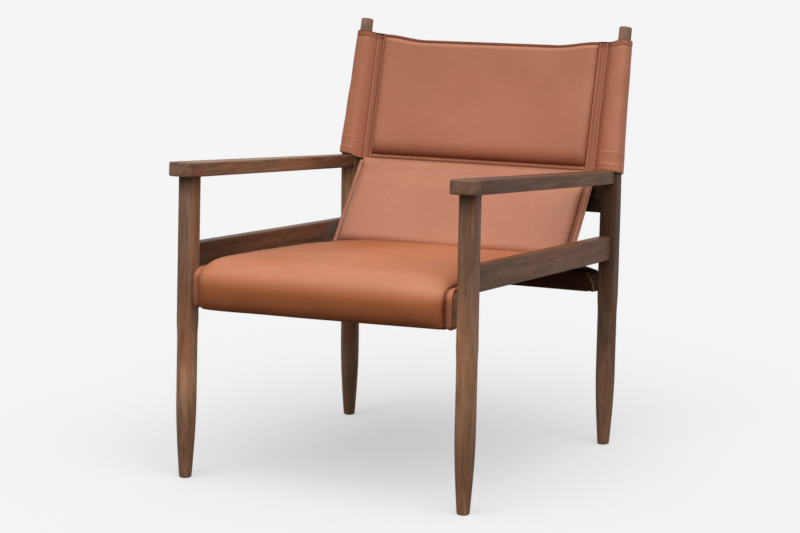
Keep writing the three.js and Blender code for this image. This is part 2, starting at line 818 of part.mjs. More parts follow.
const outward = (geometry) => geometry.translate(legX, 0, 0);

addPair(chair, 'front_leg', outward(frontLeg(1)), wood);
addPair(chair, 'rear_post', outward(rearPost(1)), wood);
addPair(chair, 'arm', outward(armShape()), wood);
addPair(chair, 'side_rail', outward(sideRailShape()), wood);
addPair(chair, 'arm_front_dowel', outward(armFrontDowel(0)), beech);
addPair(chair, 'arm_rear_dowel', outward(armRearDowel(0)), beech);
addPair(chair, 'front_glide', outward(glide(0).translate(0, frontFootY, 0)), nylon);
addPair(chair, 'rear_glide', outward(glide(0).translate(0, rearFootY, 0)), nylon);

const frontRail = crossRail(
  frontAxisY,
  frontRailBottomZ,
  frontRailHeight,
  frontRailThick,
  [frontRailRound],
  frontLegShape,
);
add(chair, 'front_rail', frontRail, wood());
const rearRail = crossRail(
  rearAxisY,
  rearRailBottomZ,
  rearRailHeight,
  rearRailThick,
  [rearRailRound, rearRailRound],
  rearPostShape,
);
add(chair, 'rear_rail', rearRail, wood());
const crossbar = crossRail(
  rearAxisY,
  crossbarBottomZ,
  crossbarHeight,
  crossbarThick,
  [crossbarRound, crossbarRound],
  rearPostShape,
);
add(chair, 'back_crossbar', crossbar, wood());

add(chair, 'seat_canvas', seatCanvasShape(), canvas());
add(chair, 'seat_foam', seatFoamShape(), foam());
add(chair, 'seat_leather', seatLeatherShape(), leather());
add(chair, 'seat_hem_right', seatHem(1), leather());
add(chair, 'seat_hem_left', seatHem(-1), leather());

add(chair, 'lower_back_canvas', lowerBackingShape(), canvas());
add(chair, 'lower_back_foam', lowerFoamShape(), foam());
add(chair, 'lower_back_leather', lowerLeatherShape(), leather());
add(chair, 'lower_back_hem_right', lowerHem(1), leather());
add(chair, 'lower_back_hem_left', lowerHem(-1), leather());

const backSling = new THREE.Group();
backSling.position.set(0, bendY, bendZ);
backSling.rotation.x = -rake;
chair.add(backSling);
addPair(backSling, 'back_sleeve', sleeveShape(), leather);
add(backSling, 'upper_back_leather', padLayer(-1, 0, -1, skin), leather());
add(backSling, 'upper_back_foam', padLayer(-1, skin + layerGap, 1, skin + layerGap), foam());
add(backSling, 'upper_back_backing', padLayer(1, skin, 1, 0), leather());
const topBinding = binding((x) => backTopAt(x) - bindingHeight, backTopAt);
add(backSling, 'upper_back_top_binding', topBinding, darkLeather());
const bottomBinding = binding(() => sleeveBottom, () => sleeveBottom + bottomBindingHeight);
add(backSling, 'upper_back_bottom_binding', bottomBinding, leather());

// The origin stands on the floor under the middle of the chair's depth
const depth = new THREE.Box3().setFromObject(chair, true);
chair.position.y = -(depth.min.y + depth.max.y) / 2;
chair.updateMatrixWorld(true);

export default chair;
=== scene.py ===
import bpy
import math
import numpy as np
from mathutils import Matrix, Vector


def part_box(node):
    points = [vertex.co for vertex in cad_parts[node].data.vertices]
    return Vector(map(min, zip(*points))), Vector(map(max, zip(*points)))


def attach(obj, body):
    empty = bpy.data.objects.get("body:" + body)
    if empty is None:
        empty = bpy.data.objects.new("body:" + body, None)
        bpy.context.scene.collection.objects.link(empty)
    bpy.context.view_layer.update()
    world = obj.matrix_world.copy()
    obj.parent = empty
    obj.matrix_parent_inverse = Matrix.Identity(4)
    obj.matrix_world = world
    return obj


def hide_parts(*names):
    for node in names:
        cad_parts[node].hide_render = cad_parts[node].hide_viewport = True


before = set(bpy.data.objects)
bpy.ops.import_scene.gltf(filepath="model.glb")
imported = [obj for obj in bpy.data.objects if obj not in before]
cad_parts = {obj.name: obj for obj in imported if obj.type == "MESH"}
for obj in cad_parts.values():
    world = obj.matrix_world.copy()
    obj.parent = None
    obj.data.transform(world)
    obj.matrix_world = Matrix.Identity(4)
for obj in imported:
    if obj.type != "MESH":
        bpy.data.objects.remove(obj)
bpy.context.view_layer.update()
scene = bpy.context.scene
scene.view_settings.view_transform = "Standard"
pi = math.pi
mm = 0.001  # lengths below are in millimetres, Blender's are in metres
bothSides = ((1, "right"), (-1, "left"))

# Shared lines of the frame, before the origin is moved under the chair's middle
stance = dict(legX=277.0, frontY=-316.0, rearY=316.0, lean=11.0, bendZ=544.0, topZ=800.0,
              rake=math.radians(14.1))
armLine = dict(underZ=545.5, drop=37.5, thick=23.5)
footLow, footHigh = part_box("front_glide_right")
shiftY = (footLow.y + footHigh.y) * 500 - stance["frontY"]  # 500: the mean of the two, in millimetres


def smoothStep(value, low, high):
    t = np.clip((np.asarray(value, float) - low) / (high - low), 0, 1)
    return t * t * (3 - 2 * t)


def mixed(a, b, t):
    return a + (b - a) * t


def waves(points, length, seed, count=7):  # smooth seeded undulation, about -1 to 1
    rng = np.random.default_rng(seed)
    total = np.zeros(len(points))
    for _ in range(count):
        way = rng.normal(size=3)
        way *= 2 * pi / length / np.linalg.norm(way) * rng.uniform(0.6, 1.5)
        total += np.sin(points @ way + rng.uniform(0, 2 * pi))
    return total / math.sqrt(count)


def frontAxis(z):
    return stance["frontY"] + stance["lean"] * np.asarray(z, float) / armLine["underZ"]


armFrontY = float(frontAxis(armLine["underZ"]))
armRun = stance["rearY"] - armFrontY
armSlope = math.atan(armLine["drop"] / armRun)


def armUnder(y):
    return armLine["underZ"] - (np.asarray(y, float) - armFrontY) * math.tan(armSlope)


# Mesh helpers: points in millimetres, faces as index lists

def ringFaces(rings, sides, start=0):
    faces = []
    for r in range(rings - 1):
        for i in range(sides):
            a = start + r * sides + i
            b = start + r * sides + (i + 1) % sides
            faces.append((a, b, b + sides, a + sides))
    return faces


def cappedFaces(rings, sides):
    last = (rings - 1) * sides
    faces = ringFaces(rings, sides)
    faces.append(tuple(range(sides - 1, -1, -1)))
    faces.append(tuple(range(last, last + sides)))
    return faces


def gridFaces(rows, columns, start=0, flip=False):
    faces = []
    for r in range(rows - 1):
        for c in range(columns - 1):
            a = start + r * columns + c
            quad = (a, a + 1, a + columns + 1, a + columns)
            faces.append(quad[::-1] if flip else quad)
    return faces


def closedSheet(upper, lower):  # two grids of the same shape, joined round the border
    rows, columns, _ = upper.shape
    points = np.concatenate([upper.reshape(-1, 3), lower.reshape(-1, 3)])
    half = rows * columns
    faces = gridFaces(rows, columns) + gridFaces(rows, columns, half, True)
    border = list(range(columns)) + [r * columns + columns - 1 for r in range(1, rows)]
    border += [(rows - 1) * columns + c for c in range(columns - 2, -1, -1)]
    border += [r * columns for r in range(rows - 2, 0, -1)]
    for i, a in enumerate(border):
        b = border[(i + 1) % len(border)]
        faces.append((b, a, a + half, b + half))
    return points, faces


def turnOut(mesh):  # faces outward, from the sign of the enclosed volume
    mesh.calc_loop_triangles()
    co = np.array([v.co for v in mesh.vertices])
    tri = np.array([t.vertices for t in mesh.loop_triangles])
    volume = np.einsum("ij,ij->i", co[tri[:, 0]], np.cross(co[tri[:, 1]], co[tri[:, 2]])).sum()
    if volume < 0:
        mesh.flip_normals()


def linked(name, data):
    obj = bpy.data.objects.new(name, data)
    scene.collection.objects.link(obj)
    return obj


def makePiece(name, points, faces, material, spec):  # spec: slot (not used), nodes, body, sharp, shade and dull
    moved = np.array(points, float)
    moved[:, 1] += shiftY
    mesh = bpy.data.meshes.new(name)
    mesh.from_pydata((moved * mm).tolist(), [], faces)
    mesh.update()
    obj = linked(name, mesh)
    turnOut(mesh)
    mesh.shade_smooth()
    mesh.set_sharp_from_angle(angle=math.radians(spec.get("sharp", 40)))
    mesh.materials.append(material)
    for key in ("shade", "dull"):
        if key in spec:
            layer = mesh.attributes.new(key, "FLOAT", "POINT")
            layer.data.foreach_set("value", np.asarray(spec[key], np.float32))
    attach(obj, spec.get("body", "frame"))
    if spec.get("nodes"):
        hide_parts(*spec["nodes"])
    return obj


# Material helpers

def newMaterial(name):
    material = bpy.data.materials.new(name)
    material.use_nodes = True
    tree = material.node_tree
    return material, tree, tree.nodes["Principled BSDF"]


def grey(value):
    return (value, value, value)


def feed(tree, socket, value):  # a link from another socket, or a plain value
    if isinstance(value, bpy.types.NodeSocket):
        tree.links.new(value, socket)
    else:
        socket.default_value = value


def addNode(tree, kind, **settings):
    node = tree.nodes.new(kind)
    for key, value in settings.items():
        if hasattr(node, key):
            setattr(node, key, value)
        else:
            node.inputs[key].default_value = value
    return node


def rampNode(tree, source, stops):
    node = tree.nodes.new("ShaderNodeValToRGB")
    elements = node.color_ramp.elements
    while len(elements) < len(stops):
        elements.new(0.5)
    for element, (spot, color) in zip(elements, stops):
        element.position = spot
        element.color = (*color, 1)
    tree.links.new(source, node.inputs["Fac"])
    return node.outputs["Color"]


def mixColor(tree, kind, amount, first, second):
    node = addNode(tree, "ShaderNodeMix", data_type="RGBA", blend_type=kind)
    for place, value in ((0, amount), (6, first), (7, second)):  # sockets 6 and 7 are the two colours
        feed(tree, node.inputs[place], value)
    return node.outputs[2]


def mathNode(tree, kind, *values):
    node = addNode(tree, "ShaderNodeMath", operation=kind)
    for socket, value in zip(node.inputs, values):
        feed(tree, socket, value)
    return node.outputs[0]


def weighted(tree, parts):  # sum of (value, weight) pairs
    total = None
    for source, weight in parts:
        term = mathNode(tree, "MULTIPLY", source, weight)
        total = term if total is None else mathNode(tree, "ADD", total, term)
    return total


def spaceNode(tree, scale=(1, 1, 1), place=(0, 0, 0)):
    coords = tree.nodes.new("ShaderNodeTexCoord")
    mapping = addNode(tree, "ShaderNodeMapping", Location=place, Scale=scale)
    tree.links.new(coords.outputs["Object"], mapping.inputs["Vector"])
    return mapping.outputs["Vector"]


def noiseNode(tree, space, scale, detail=4.0, rough=0.55, distortion=0.0):
    node = addNode(tree, "ShaderNodeTexNoise", Scale=scale, Detail=detail, Roughness=rough,
                   Distortion=distortion)
    tree.links.new(space, node.inputs["Vector"])
    return node.outputs["Fac"]


def bumpNode(tree, height, strength, distance, below=None):
    node = addNode(tree, "ShaderNodeBump", Strength=strength, Distance=distance)
    tree.links.new(height, node.inputs["Height"])
    if below is not None:
        tree.links.new(below, node.inputs["Normal"])
    return node.outputs["Normal"]


def gainNode(tree, axis, stops):  # brightness along one axis of the frame, stops in millimetres
    coords = tree.nodes.new("ShaderNodeTexCoord")
    parts = tree.nodes.new("ShaderNodeSeparateXYZ")
    tree.links.new(coords.outputs["Object"], parts.inputs[0])
    low, high = stops[0][0], stops[-1][0]
    ranged = tree.nodes.new("ShaderNodeMapRange")
    ranged.inputs["From Min"].default_value = low * mm
    ranged.inputs["From Max"].default_value = high * mm
    tree.links.new(parts.outputs[axis.upper()], ranged.inputs["Value"])
    marks = []
    for spot, gain in stops:
        marks.append(((spot - low) / (high - low), gain if isinstance(gain, tuple) else grey(gain)))
    return rampNode(tree, ranged.outputs["Result"], marks)


# Stained wood: fibres, growth figure, blotched stain and pores, drawn out along one axis of the frame
woodFacts = dict(
    tones=((0.28, (0.090, 0.044, 0.024)), (0.51, (0.212, 0.106, 0.058)), (0.74, (0.315, 0.170, 0.098))),
    fineRun=0.05, broadRun=0.09, stainRun=0.35,  # how far each pattern is drawn out, 1 is not at all
    noises=dict(  # scale, detail, roughness and any distortion
        figure=(30, 3, 0.5, 0.5), fibre=(520, 4, 0.65), streak=(130, 5, 0.6, 0.3), blotch=(42, 3, 0.5, 0.6),
        patch=(11, 3, 0.5), hue=(26, 2, 0.5), pore=(900, 2, 0.5)),
    fibreBump=(0.16, 0.0006), poreBump=(0.25, 0.0005),  # strength, and depth in metres
    ringCount=34.0, ringed=0.12, streak=0.34, fibre=0.30, blotch=0.24,
    patches=((0.34, (0.66, 0.68, 0.71)), (0.52, (1.0, 1.0, 1.0)), (0.70, (1.28, 1.19, 1.08))),
    hues=((0.36, (0.93, 0.99, 1.02)), (0.50, (1, 1, 1)), (0.64, (1.11, 0.97, 0.91))),
    pores=((0.30, (0.34, 0.31, 0.29)), (0.39, (1, 1, 1))), poreShare=0.7,
    rough=((0.3, grey(0.56)), (0.7, grey(0.42))), specular=0.15)


def makeWood(name, grain, seed, depth=1.0, gain=None):  # depth scales the tones, gain shades them
    material, tree, shader = newMaterial(name)
    facts = woodFacts
    fineRun, broadRun, stainRun = (
        tuple(facts[key] if axis == grain else 1 for axis in "xyz")
        for key in ("fineRun", "broadRun", "stainRun"))
    place, noises = (seed * 1.37, seed * 0.71, seed * 2.13), facts["noises"]
    fine = spaceNode(tree, fineRun, place)
    figure = noiseNode(tree, spaceNode(tree, broadRun, place), *noises["figure"])
    fibre = noiseNode(tree, fine, *noises["fibre"])
    streak = noiseNode(tree, fine, *noises["streak"])
    blotch = noiseNode(tree, spaceNode(tree, stainRun, place), *noises["blotch"])
    rings = mathNode(tree, "SINE", mathNode(tree, "MULTIPLY", figure, facts["ringCount"]))
    ringed = mathNode(tree, "MULTIPLY_ADD", rings, 0.5, 0.5)
    value = weighted(tree, ((ringed, facts["ringed"]), (streak, facts["streak"]), (fibre, facts["fibre"]),
                            (blotch, facts["blotch"])))
    toned = rampNode(tree, value, [(spot, [v * depth for v in tone]) for spot, tone in facts["tones"]])
    patch = noiseNode(tree, spaceNode(tree, broadRun, (seed * 0.3, 4.1, seed)), *noises["patch"])
    hue = noiseNode(tree, spaceNode(tree, stainRun, (seed * 0.9, 1.3, seed * 0.4)), *noises["hue"])
    layers = [rampNode(tree, patch, facts["patches"]), rampNode(tree, hue, facts["hues"])]
    if gain:
        layers.append(gainNode(tree, gain["axis"], gain["stops"]))
    for layer in layers:
        toned = mixColor(tree, "MULTIPLY", 1.0, toned, layer)
    pores = rampNode(tree, noiseNode(tree, fine, *noises["pore"]), facts["pores"])
    toned = mixColor(tree, "MULTIPLY", facts["poreShare"], toned, pores)
    tree.links.new(toned, shader.inputs["Base Color"])
    tree.links.new(rampNode(tree, streak, facts["rough"]), shader.inputs["Roughness"])
    normal = bumpNode(tree, fibre, *facts["fibreBump"])
    normal = bumpNode(tree, pores, *facts["poreBump"], normal)
    tree.links.new(normal, shader.inputs["Normal"])
    shader.inputs["Specular IOR Level"].default_value = facts["specular"]
    return material


# Tan leather: pebble grain, soft mottling and pores; a shade attribute paints shade into seams, creases,
# undersides and shaded parts by mixing towards the deep tone, and a dull attribute dulls its gloss
leatherTones = dict(
    seat=dict(deep=(0.130, 0.030, 0.010), base=(0.580, 0.178, 0.068), pale=(0.660, 0.219, 0.091), shine=1.0),
    # back and lower: paler and greyer than the seat, a painted sheen
    back=dict(deep=(0.130, 0.032, 0.012), base=(0.485, 0.177, 0.093), pale=(0.560, 0.216, 0.117), shine=0.5),
    lower=dict(deep=(0.130, 0.034, 0.014), base=(0.500, 0.196, 0.110), pale=(0.580, 0.240, 0.138), shine=0.5),
    sleeve=dict(deep=(0.125, 0.032, 0.012), base=(0.470, 0.163, 0.081), pale=(0.545, 0.2, 0.103), shine=0.5),
    edge=dict(deep=(0.120, 0.034, 0.014), base=(0.190, 0.055, 0.024), pale=(0.250, 0.080, 0.037), shine=0.3),
    # tail: its base and pale tones show only on the painted lit rim of the flap; painted shadow takes the
    # rest to the deep tone
    tail=dict(deep=(0.105, 0.036, 0.017), base=(0.400, 0.230, 0.120), pale=(0.460, 0.270, 0.140), shine=0.1))
leatherGrain = dict(
    noises=dict(cloud=(7, 3, 0.5), patch=(38, 5, 0.6), swell=(95, 4, 0.55), pit=(1500, 2, 0.5)),
    swellBump=(0.10, 0.0012), pebbleBump=(0.22, 0.00022), pitBump=(0.12, 0.00012), toneSpots=(0.34, 0.66),
    cloud=0.62, patch=0.38, pebbles=760.0, pebble=((0.0, grey(0)), (0.16, grey(1))),
    creases=((0.0, (0.86, 0.82, 0.80)), (0.10, (1, 1, 1))), creaseShare=0.55,
    rough=((0.3, grey(0.50)), (0.7, grey(0.60))), shadeDulls=0.85)


def makeLeather(name, tone, seed):
    material, tree, shader = newMaterial(name)
    facts = leatherGrain
    noises, (low, high) = facts["noises"], facts["toneSpots"]
    plain = spaceNode(tree, place=(seed * 0.9, seed * 1.7, seed * 0.4))
    cloud = noiseNode(tree, plain, *noises["cloud"])
    patch = noiseNode(tree, plain, *noises["patch"])
    soft = weighted(tree, ((cloud, facts["cloud"]), (patch, facts["patch"])))
    color = rampNode(tree, soft, ((low, tone["base"]), (high, tone["pale"])))
    cell = addNode(tree, "ShaderNodeTexVoronoi", feature="DISTANCE_TO_EDGE", Scale=facts["pebbles"])
    tree.links.new(plain, cell.inputs["Vector"])
    pebble = rampNode(tree, cell.outputs["Distance"], facts["pebble"])
    creases = rampNode(tree, cell.outputs["Distance"], facts["creases"])
    color = mixColor(tree, "MULTIPLY", facts["creaseShare"], color, creases)
    # painted shade: the shade attribute mixes the colour towards the deep tone
    shade = addNode(tree, "ShaderNodeAttribute", attribute_name="shade").outputs["Fac"]
    color = mixColor(tree, "MIX", shade, color, (*tone["deep"], 1))
    tree.links.new(color, shader.inputs["Base Color"])
    tree.links.new(rampNode(tree, patch, facts["rough"]), shader.inputs["Roughness"])
    normal = bumpNode(tree, noiseNode(tree, plain, *noises["swell"]), *facts["swellBump"])
    normal = bumpNode(tree, pebble, *facts["pebbleBump"], normal)
    normal = bumpNode(tree, noiseNode(tree, plain, *noises["pit"]), *facts["pitBump"], normal)
    tree.links.new(normal, shader.inputs["Normal"])
    dull = addNode(tree, "ShaderNodeAttribute", attribute_name="dull").outputs["Fac"]
    lost = mathNode(tree, "MAXIMUM", dull, mathNode(tree, "MULTIPLY", shade, facts["shadeDulls"]))
    shine = mathNode(tree, "MULTIPLY", mathNode(tree, "SUBTRACT", 1.0, lost), tone["shine"])
    tree.links.new(shine, shader.inputs["Specular IOR Level"])
    return material


canvasFacts = dict(threads=320.0, wander=0.6, wanderScale=6.0, rough=0.92, specular=0.1, bump=(0.5, 0.0004),
                   dark=(0.068, 0.023, 0.010), light=(0.160, 0.055, 0.025))


def makeCanvas(name):
    material, tree, shader = newMaterial(name)
    plain = spaceNode(tree)
    threads = []
    for way in ("X", "Y"):
        wave = addNode(tree, "ShaderNodeTexWave", bands_direction=way, Scale=canvasFacts["threads"],
                       Distortion=canvasFacts["wander"])
        wave.inputs["Detail Scale"].default_value = canvasFacts["wanderScale"]
        tree.links.new(plain, wave.inputs["Vector"])
        threads.append(wave.outputs["Fac"])
    weave = mathNode(tree, "MULTIPLY", *threads)
    color = rampNode(tree, weave, ((0.1, canvasFacts["dark"]), (0.7, canvasFacts["light"])))
    tree.links.new(color, shader.inputs["Base Color"])
    tree.links.new(bumpNode(tree, weave, *canvasFacts["bump"]), shader.inputs["Normal"])
    shader.inputs["Roughness"].default_value = canvasFacts["rough"]
    shader.inputs["Specular IOR Level"].default_value = canvasFacts["specular"]
    return material


def makeFlecked(name, dark, light, rough, scale):
    material, tree, shader = newMaterial(name)
    fleck = noiseNode(tree, spaceNode(tree), scale, 3, 0.6)
    tree.links.new(rampNode(tree, fleck, ((0.35, dark), (0.65, light))), shader.inputs["Base Color"])
    tree.links.new(bumpNode(tree, fleck, 0.2, 0.0003), shader.inputs["Normal"])
    shader.inputs["Roughness"].default_value = rough
    return material


leathers = {}
for seed, (key, tone) in enumerate(leatherTones.items(), 1):
    leathers[key] = makeLeather(f"{key}_leather", tone, seed)
canvas = makeCanvas("carrier_canvas")
thread = makeFlecked("thread", (0.150, 0.052, 0.024), (0.260, 0.100, 0.050), 0.6, 900)
nylon = makeFlecked("nylon", (0.012, 0.012, 0.012), (0.030, 0.030, 0.030), 0.5, 400)
beech = makeFlecked("beech", (0.42, 0.28, 0.15), (0.55, 0.40, 0.24), 0.6, 300)
print("materials made")

# Camera at the photograph's viewing angle, turns in degrees
cameraFacts = dict(yaw=26.57, pitch=8.34, roll=0.70, place=(1923.3, -3860.3, 996.9),
                   sensor=36.0, focal=2361 / 800)


def makeCamera(facts):
    yaw, pitch, roll = (math.radians(facts[k]) for k in ("yaw", "pitch", "roll"))
    ahead = Vector((-math.sin(yaw) * math.cos(pitch), math.cos(yaw) * math.cos(pitch), -math.sin(pitch)))
    right = Vector((math.cos(yaw), math.sin(yaw), 0))
    up = right.cross(ahead)
    rolled = right * math.cos(roll) + up * math.sin(roll)
    upright = up * math.cos(roll) - right * math.sin(roll)
    data = bpy.data.cameras.new("camera")
    data.sensor_width = facts["sensor"]
    data.lens = facts["focal"] * facts["sensor"]  # focal is the lens in picture widths
    camera = linked("camera", data)
    x, y, z = facts["place"]
    spot = Vector((x, y + shiftY, z)) * mm
    camera.matrix_world = Matrix.Translation(spot) @ Matrix((rolled, upright, -ahead)).transposed().to_4x4()
    scene.camera = camera


makeCamera(cameraFacts)


# Wooden frame

def section(half, exponent, sides):  # a circle at exponent 2, squarer above it
    angle = np.arange(sides) * 2 * pi / sides
    c, s = np.cos(angle), np.sin(angle)
    reach = (np.abs(c) ** exponent + np.abs(s) ** exponent) ** (-1 / exponent)
    return np.stack([half * reach * c, half * reach * s], 1)


def levelRing(flat, y, z):
    return np.column_stack([flat[:, 0], flat[:, 1] + y, np.full(len(flat), z)])


def arcPoints(centre, r, start, steps):  # a quarter turn from start, in degrees
    angles = [math.radians(start + 90 * k / steps) for k in range(steps + 1)]
    return [(centre[0] + r * math.cos(a), centre[1] + r * math.sin(a)) for a in angles]


def loftPiece(name, rings, material, spec, side=1):  # drift: sideways shifts at spots along an axis
    points = np.concatenate(rings)
    points[:, 0] = points[:, 0] * side + spec.get("x", 0) * side
    if "drift" in spec:
        axis, spots, shifts = spec["drift"]
        points[:, 0] += np.interp(points[:, axis], spots, shifts)
    return makePiece(name, points, cappedFaces(len(rings), len(rings[0])), material, spec)


# Legs: a turned calf tapering to the foot, square above, and round again on the raked part of the rear posts
legShape = dict(half=15.75, calf=18.3, foot=11.2, taper=150, roundTop=250, squareBottom=312,
                ease=1.6, proud=1.0, rearHalf=16.6, neck=15.8, tip=12.0, tipEase=2.0, bend=22.0,
                exponent=6.0, sides=56, step=6.0)


def legProfile(z, square):  # half width and squareness at a height
    squared = float(smoothStep(z, legShape["roundTop"], legShape["squareBottom"]))
    swell = math.sin(pi / 2 * min(1, z / legShape["taper"]))
    rounded = mixed(legShape["foot"], legShape["calf"], swell)
    return mixed(rounded, square, squared), mixed(2.0, legShape["exponent"], squared ** 1.5)


def lowerLegRings(axis, top, square):
    rings = []
    base, ease, step, easeRings = legShape["proud"], legShape["ease"], legShape["step"], 5
    for turn in np.linspace(0, pi / 2, easeRings):
        z = base + ease * (1 - math.cos(turn))
        flat = section(legShape["foot"] - ease * (1 - math.sin(turn)), 2.0, legShape["sides"])
        rings.append(levelRing(flat, axis(z), z))
    for z in np.arange(base + ease + step, top, step):
        rings.append(levelRing(section(*legProfile(z, square), legShape["sides"]), axis(z), z))
    return rings


def frontLegRings():
    topSquare, bury = 24, 0.3  # the last ring follows the arm's underside
    rings = lowerLegRings(frontAxis, float(armUnder(armFrontY)) - topSquare, legShape["half"])
    flat = section(legShape["half"], legShape["exponent"], legShape["sides"])
    y = flat[:, 1] + armFrontY
    rings.append(np.column_stack([flat[:, 0], y, armUnder(y) - bury]))
    return rings


def postCentre(along):  # raked axis above the bend, with a short curve at the bend
    curve, lean = legShape["bend"], stance["rake"]
    t = np.clip((along + curve) / (2 * curve), 0, 1)
    off = np.where(along > curve, along, curve * t * t * np.where(along > -curve, 1, 0))
    y = stance["rearY"] + off * math.sin(lean)
    z = stance["bendZ"] + along * np.where(along > 0, math.cos(lean), 1)
    return y, z, lean * smoothStep(along, -curve, curve)


def rearPostRings():
    half, tipEase, start, below = legShape["rearHalf"], legShape["tipEase"], -24, 26
    rings = lowerLegRings(lambda z: stance["rearY"], stance["bendZ"] - below, half)
    length = (stance["topZ"] - stance["bendZ"]) / math.cos(stance["rake"])
    spots = list(np.arange(start, length - tipEase, legShape["step"]))
    spots += [length - tipEase * math.cos(k / 4 * pi / 2) for k in range(5)]
    for along in spots:
        y, z, tilt = (float(v) for v in postCentre(np.float64(along)))
        rounding = float(smoothStep(along, start, legShape["bend"]))
        width = mixed(half, mixed(legShape["neck"], legShape["tip"], max(0, along) / length), rounding)
        if along > length - tipEase:
            sunk = 1 - (length - along) / tipEase
            width -= tipEase * (1 - math.sqrt(max(0, 1 - sunk * sunk)))
        flat = section(width, mixed(legShape["exponent"], 2.0, rounding), legShape["sides"])
        depth = flat[:, 1]
        rings.append(np.column_stack([flat[:, 0], y + depth * math.cos(tilt), z - depth * math.sin(tilt)]))
    return rings


# Tone along each leg by height, painted light and shade: painted shadow under the arms, painted light on the
# calves and on the left rear post between seat and arm, and a painted grey sheen at the tips
legGain = dict(
    frontRight=[(0, 1.05), (50, 0.72), (100, 0.80), (150, 1.08), (230, 1.58), (300, 1.42),
                (380, (1.0, 1.0, 1.04)), (505, (0.92, 0.92, 1.0)), (545, 0.36)],
    frontLeft=[(0, 1.12), (65, 1.02), (120, 1.26), (174, 1.85), (228, 1.42), (290, (1.05, 1.12, 1.15)),
               (400, (1.03, 1.12, 1.25)), (505, (1.05, 1.12, 1.25)), (545, 0.32)],
    rearRight=[(0, 1.6), (40, 1.7), (116, 1.95), (175, 1.55), (250, 1.2), (400, (0.76, 0.68, 0.62)),
               (500, (0.62, 0.58, 0.56)), (700, 0.84), (780, (1.75, 2.15, 2.75)), (803, (1.75, 2.15, 2.75))],
    rearLeft=[(0, 1.6), (40, 1.7), (116, 1.95), (175, 1.55), (250, 1.3), (400, (2.9, 3.3, 3.2)),
              (470, (2.9, 3.2, 3.1)), (505, (1.5, 1.7, 1.6)), (700, 0.84), (780, (1.75, 2.15, 2.75)),
              (803, (1.75, 2.15, 2.75))])
# Sideways drift by height: the front legs lean in a little, the right rear post leans out
legDrift = dict(
    frontRight=([0, 100, 230, 310, 420, 545], [-0.9, -0.5, -0.5, -0.9, -1.4, -2.0]),
    frontLeft=([0, 100, 200, 300, 420, 545], [0.3, 0.8, 1.4, 2.0, 2.9, 3.8]),
    rearRight=([0, 85, 160, 235, 272, 400, 460, 510, 803], [1.6, 2.2, 2.5, 3.0, 3.2, 4.1, 4.6, 4.6, 1.5]))
legKinds = dict(
    front=dict(name="Leg", rings=frontLegRings, seed=3, depth=1.42),
    rear=dict(name="Post", rings=rearPostRings, seed=8, depth=0.92))


def addLegs():
    for side, word in bothSides:
        for end, kind in legKinds.items():
            key, node = end + word.title(), f"{end}_{kind['name'].lower()}_{word}"
            gain = dict(axis="z", stops=legGain[key])
            wood = makeWood(f"wood_{node}", "z", kind["seed"] + side, kind["depth"], gain)
            spec = dict(x=stance["legX"], slot="frame_wood", nodes=[node])
            if key in legDrift:
                spec["drift"] = (2, *legDrift[key])
            loftPiece(f"{end}{kind['name']}.{word}", kind["rings"](), wood, spec, side)


def roundedBar(width, height, rounds, support=0.7):  # section with a support point beside each rounded corner
    w, h = width / 2, height / 2
    points = []
    corners = ((w, h, 0), (-w, h, 90), (-w, -h, 180), (w, -h, 270))
    for (cx, cy, start), r in zip(corners, rounds):
        centre = (cx - math.copysign(r, cx), cy - math.copysign(r, cy))
        curve = arcPoints(centre, r, start, 6)
        first, last = math.radians(start), math.radians(start + 90)
        before = (curve[0][0] + support * math.sin(first), curve[0][1] - support * math.cos(first))
        after = (curve[-1][0] - support * math.sin(last), curve[-1][1] + support * math.cos(last))
        points += [before, *curve, after]
    return np.array(points)


# Side rails, with their tone varied by depth from the front; the left one is darker at both ends
railFacts = dict(frontZ=402.0, drop=19.0, height=45.0, thick=25.0, ease=3.0, bury=1.5, seed=14, depth=0.8)
railGain = dict(
    right=[(-330, (0.93, 0.80, 0.74)), (-100, (1.0, 0.88, 0.82)), (180, (0.98, 0.88, 0.82)),
           (270, (1.1, 1.02, 1.02))],
    left=[(-310, 0.6), (-200, 0.75), (-60, 1.2), (120, 1.05), (250, 0.6)])


def addSideRails():
    frontY = float(frontAxis(railFacts["frontZ"]))
    shoulder = legShape["half"] - railFacts["bury"]
    run = stance["rearY"] - frontY
    flat = roundedBar(railFacts["thick"], railFacts["height"], [railFacts["ease"]] * 4)
    rings = []
    for y in np.linspace(frontY + shoulder, stance["rearY"] - shoulder, 40):
        z = railFacts["frontZ"] - railFacts["drop"] * (y - frontY) / run
        rings.append(np.column_stack([flat[:, 0], np.full(len(flat), y), z + flat[:, 1]]))
    for side, word in bothSides:
        gain = dict(axis="y", stops=railGain[word])
        wood = makeWood(f"wood_side_rail_{word}", "y", railFacts["seed"] + side, railFacts["depth"], gain)
        spec = dict(x=stance["legX"], slot="frame_wood", nodes=[f"side_rail_{word}"])
        loftPiece(f"sideRail.{word}", rings, wood, spec, side)


# Rails across the chair; the front one is sunk at its left end, under the hem; the rear rail and the crossbar
# are darkened as painted shade
crossFacts = dict(
    front=dict(bottom=320.0, height=60.0, thick=24.0, rounds=[3, 14, 3, 3], sunk=3.4,
               node="front_rail", seed=21, depth=0.8),
    rear=dict(bottom=298.5, height=38.0, thick=24.0, rounds=[14, 8, 3, 3],
              node="rear_rail", seed=24, depth=0.35),
    bar=dict(bottom=450.06, height=70.0, thick=22.0, rounds=[8, 8, 3, 3],
             node="back_crossbar", seed=27, depth=0.38))


def railY(facts):
    middle = facts["bottom"] + facts["height"] / 2
    return float(frontAxis(middle)) if facts["node"] == "front_rail" else stance["rearY"]


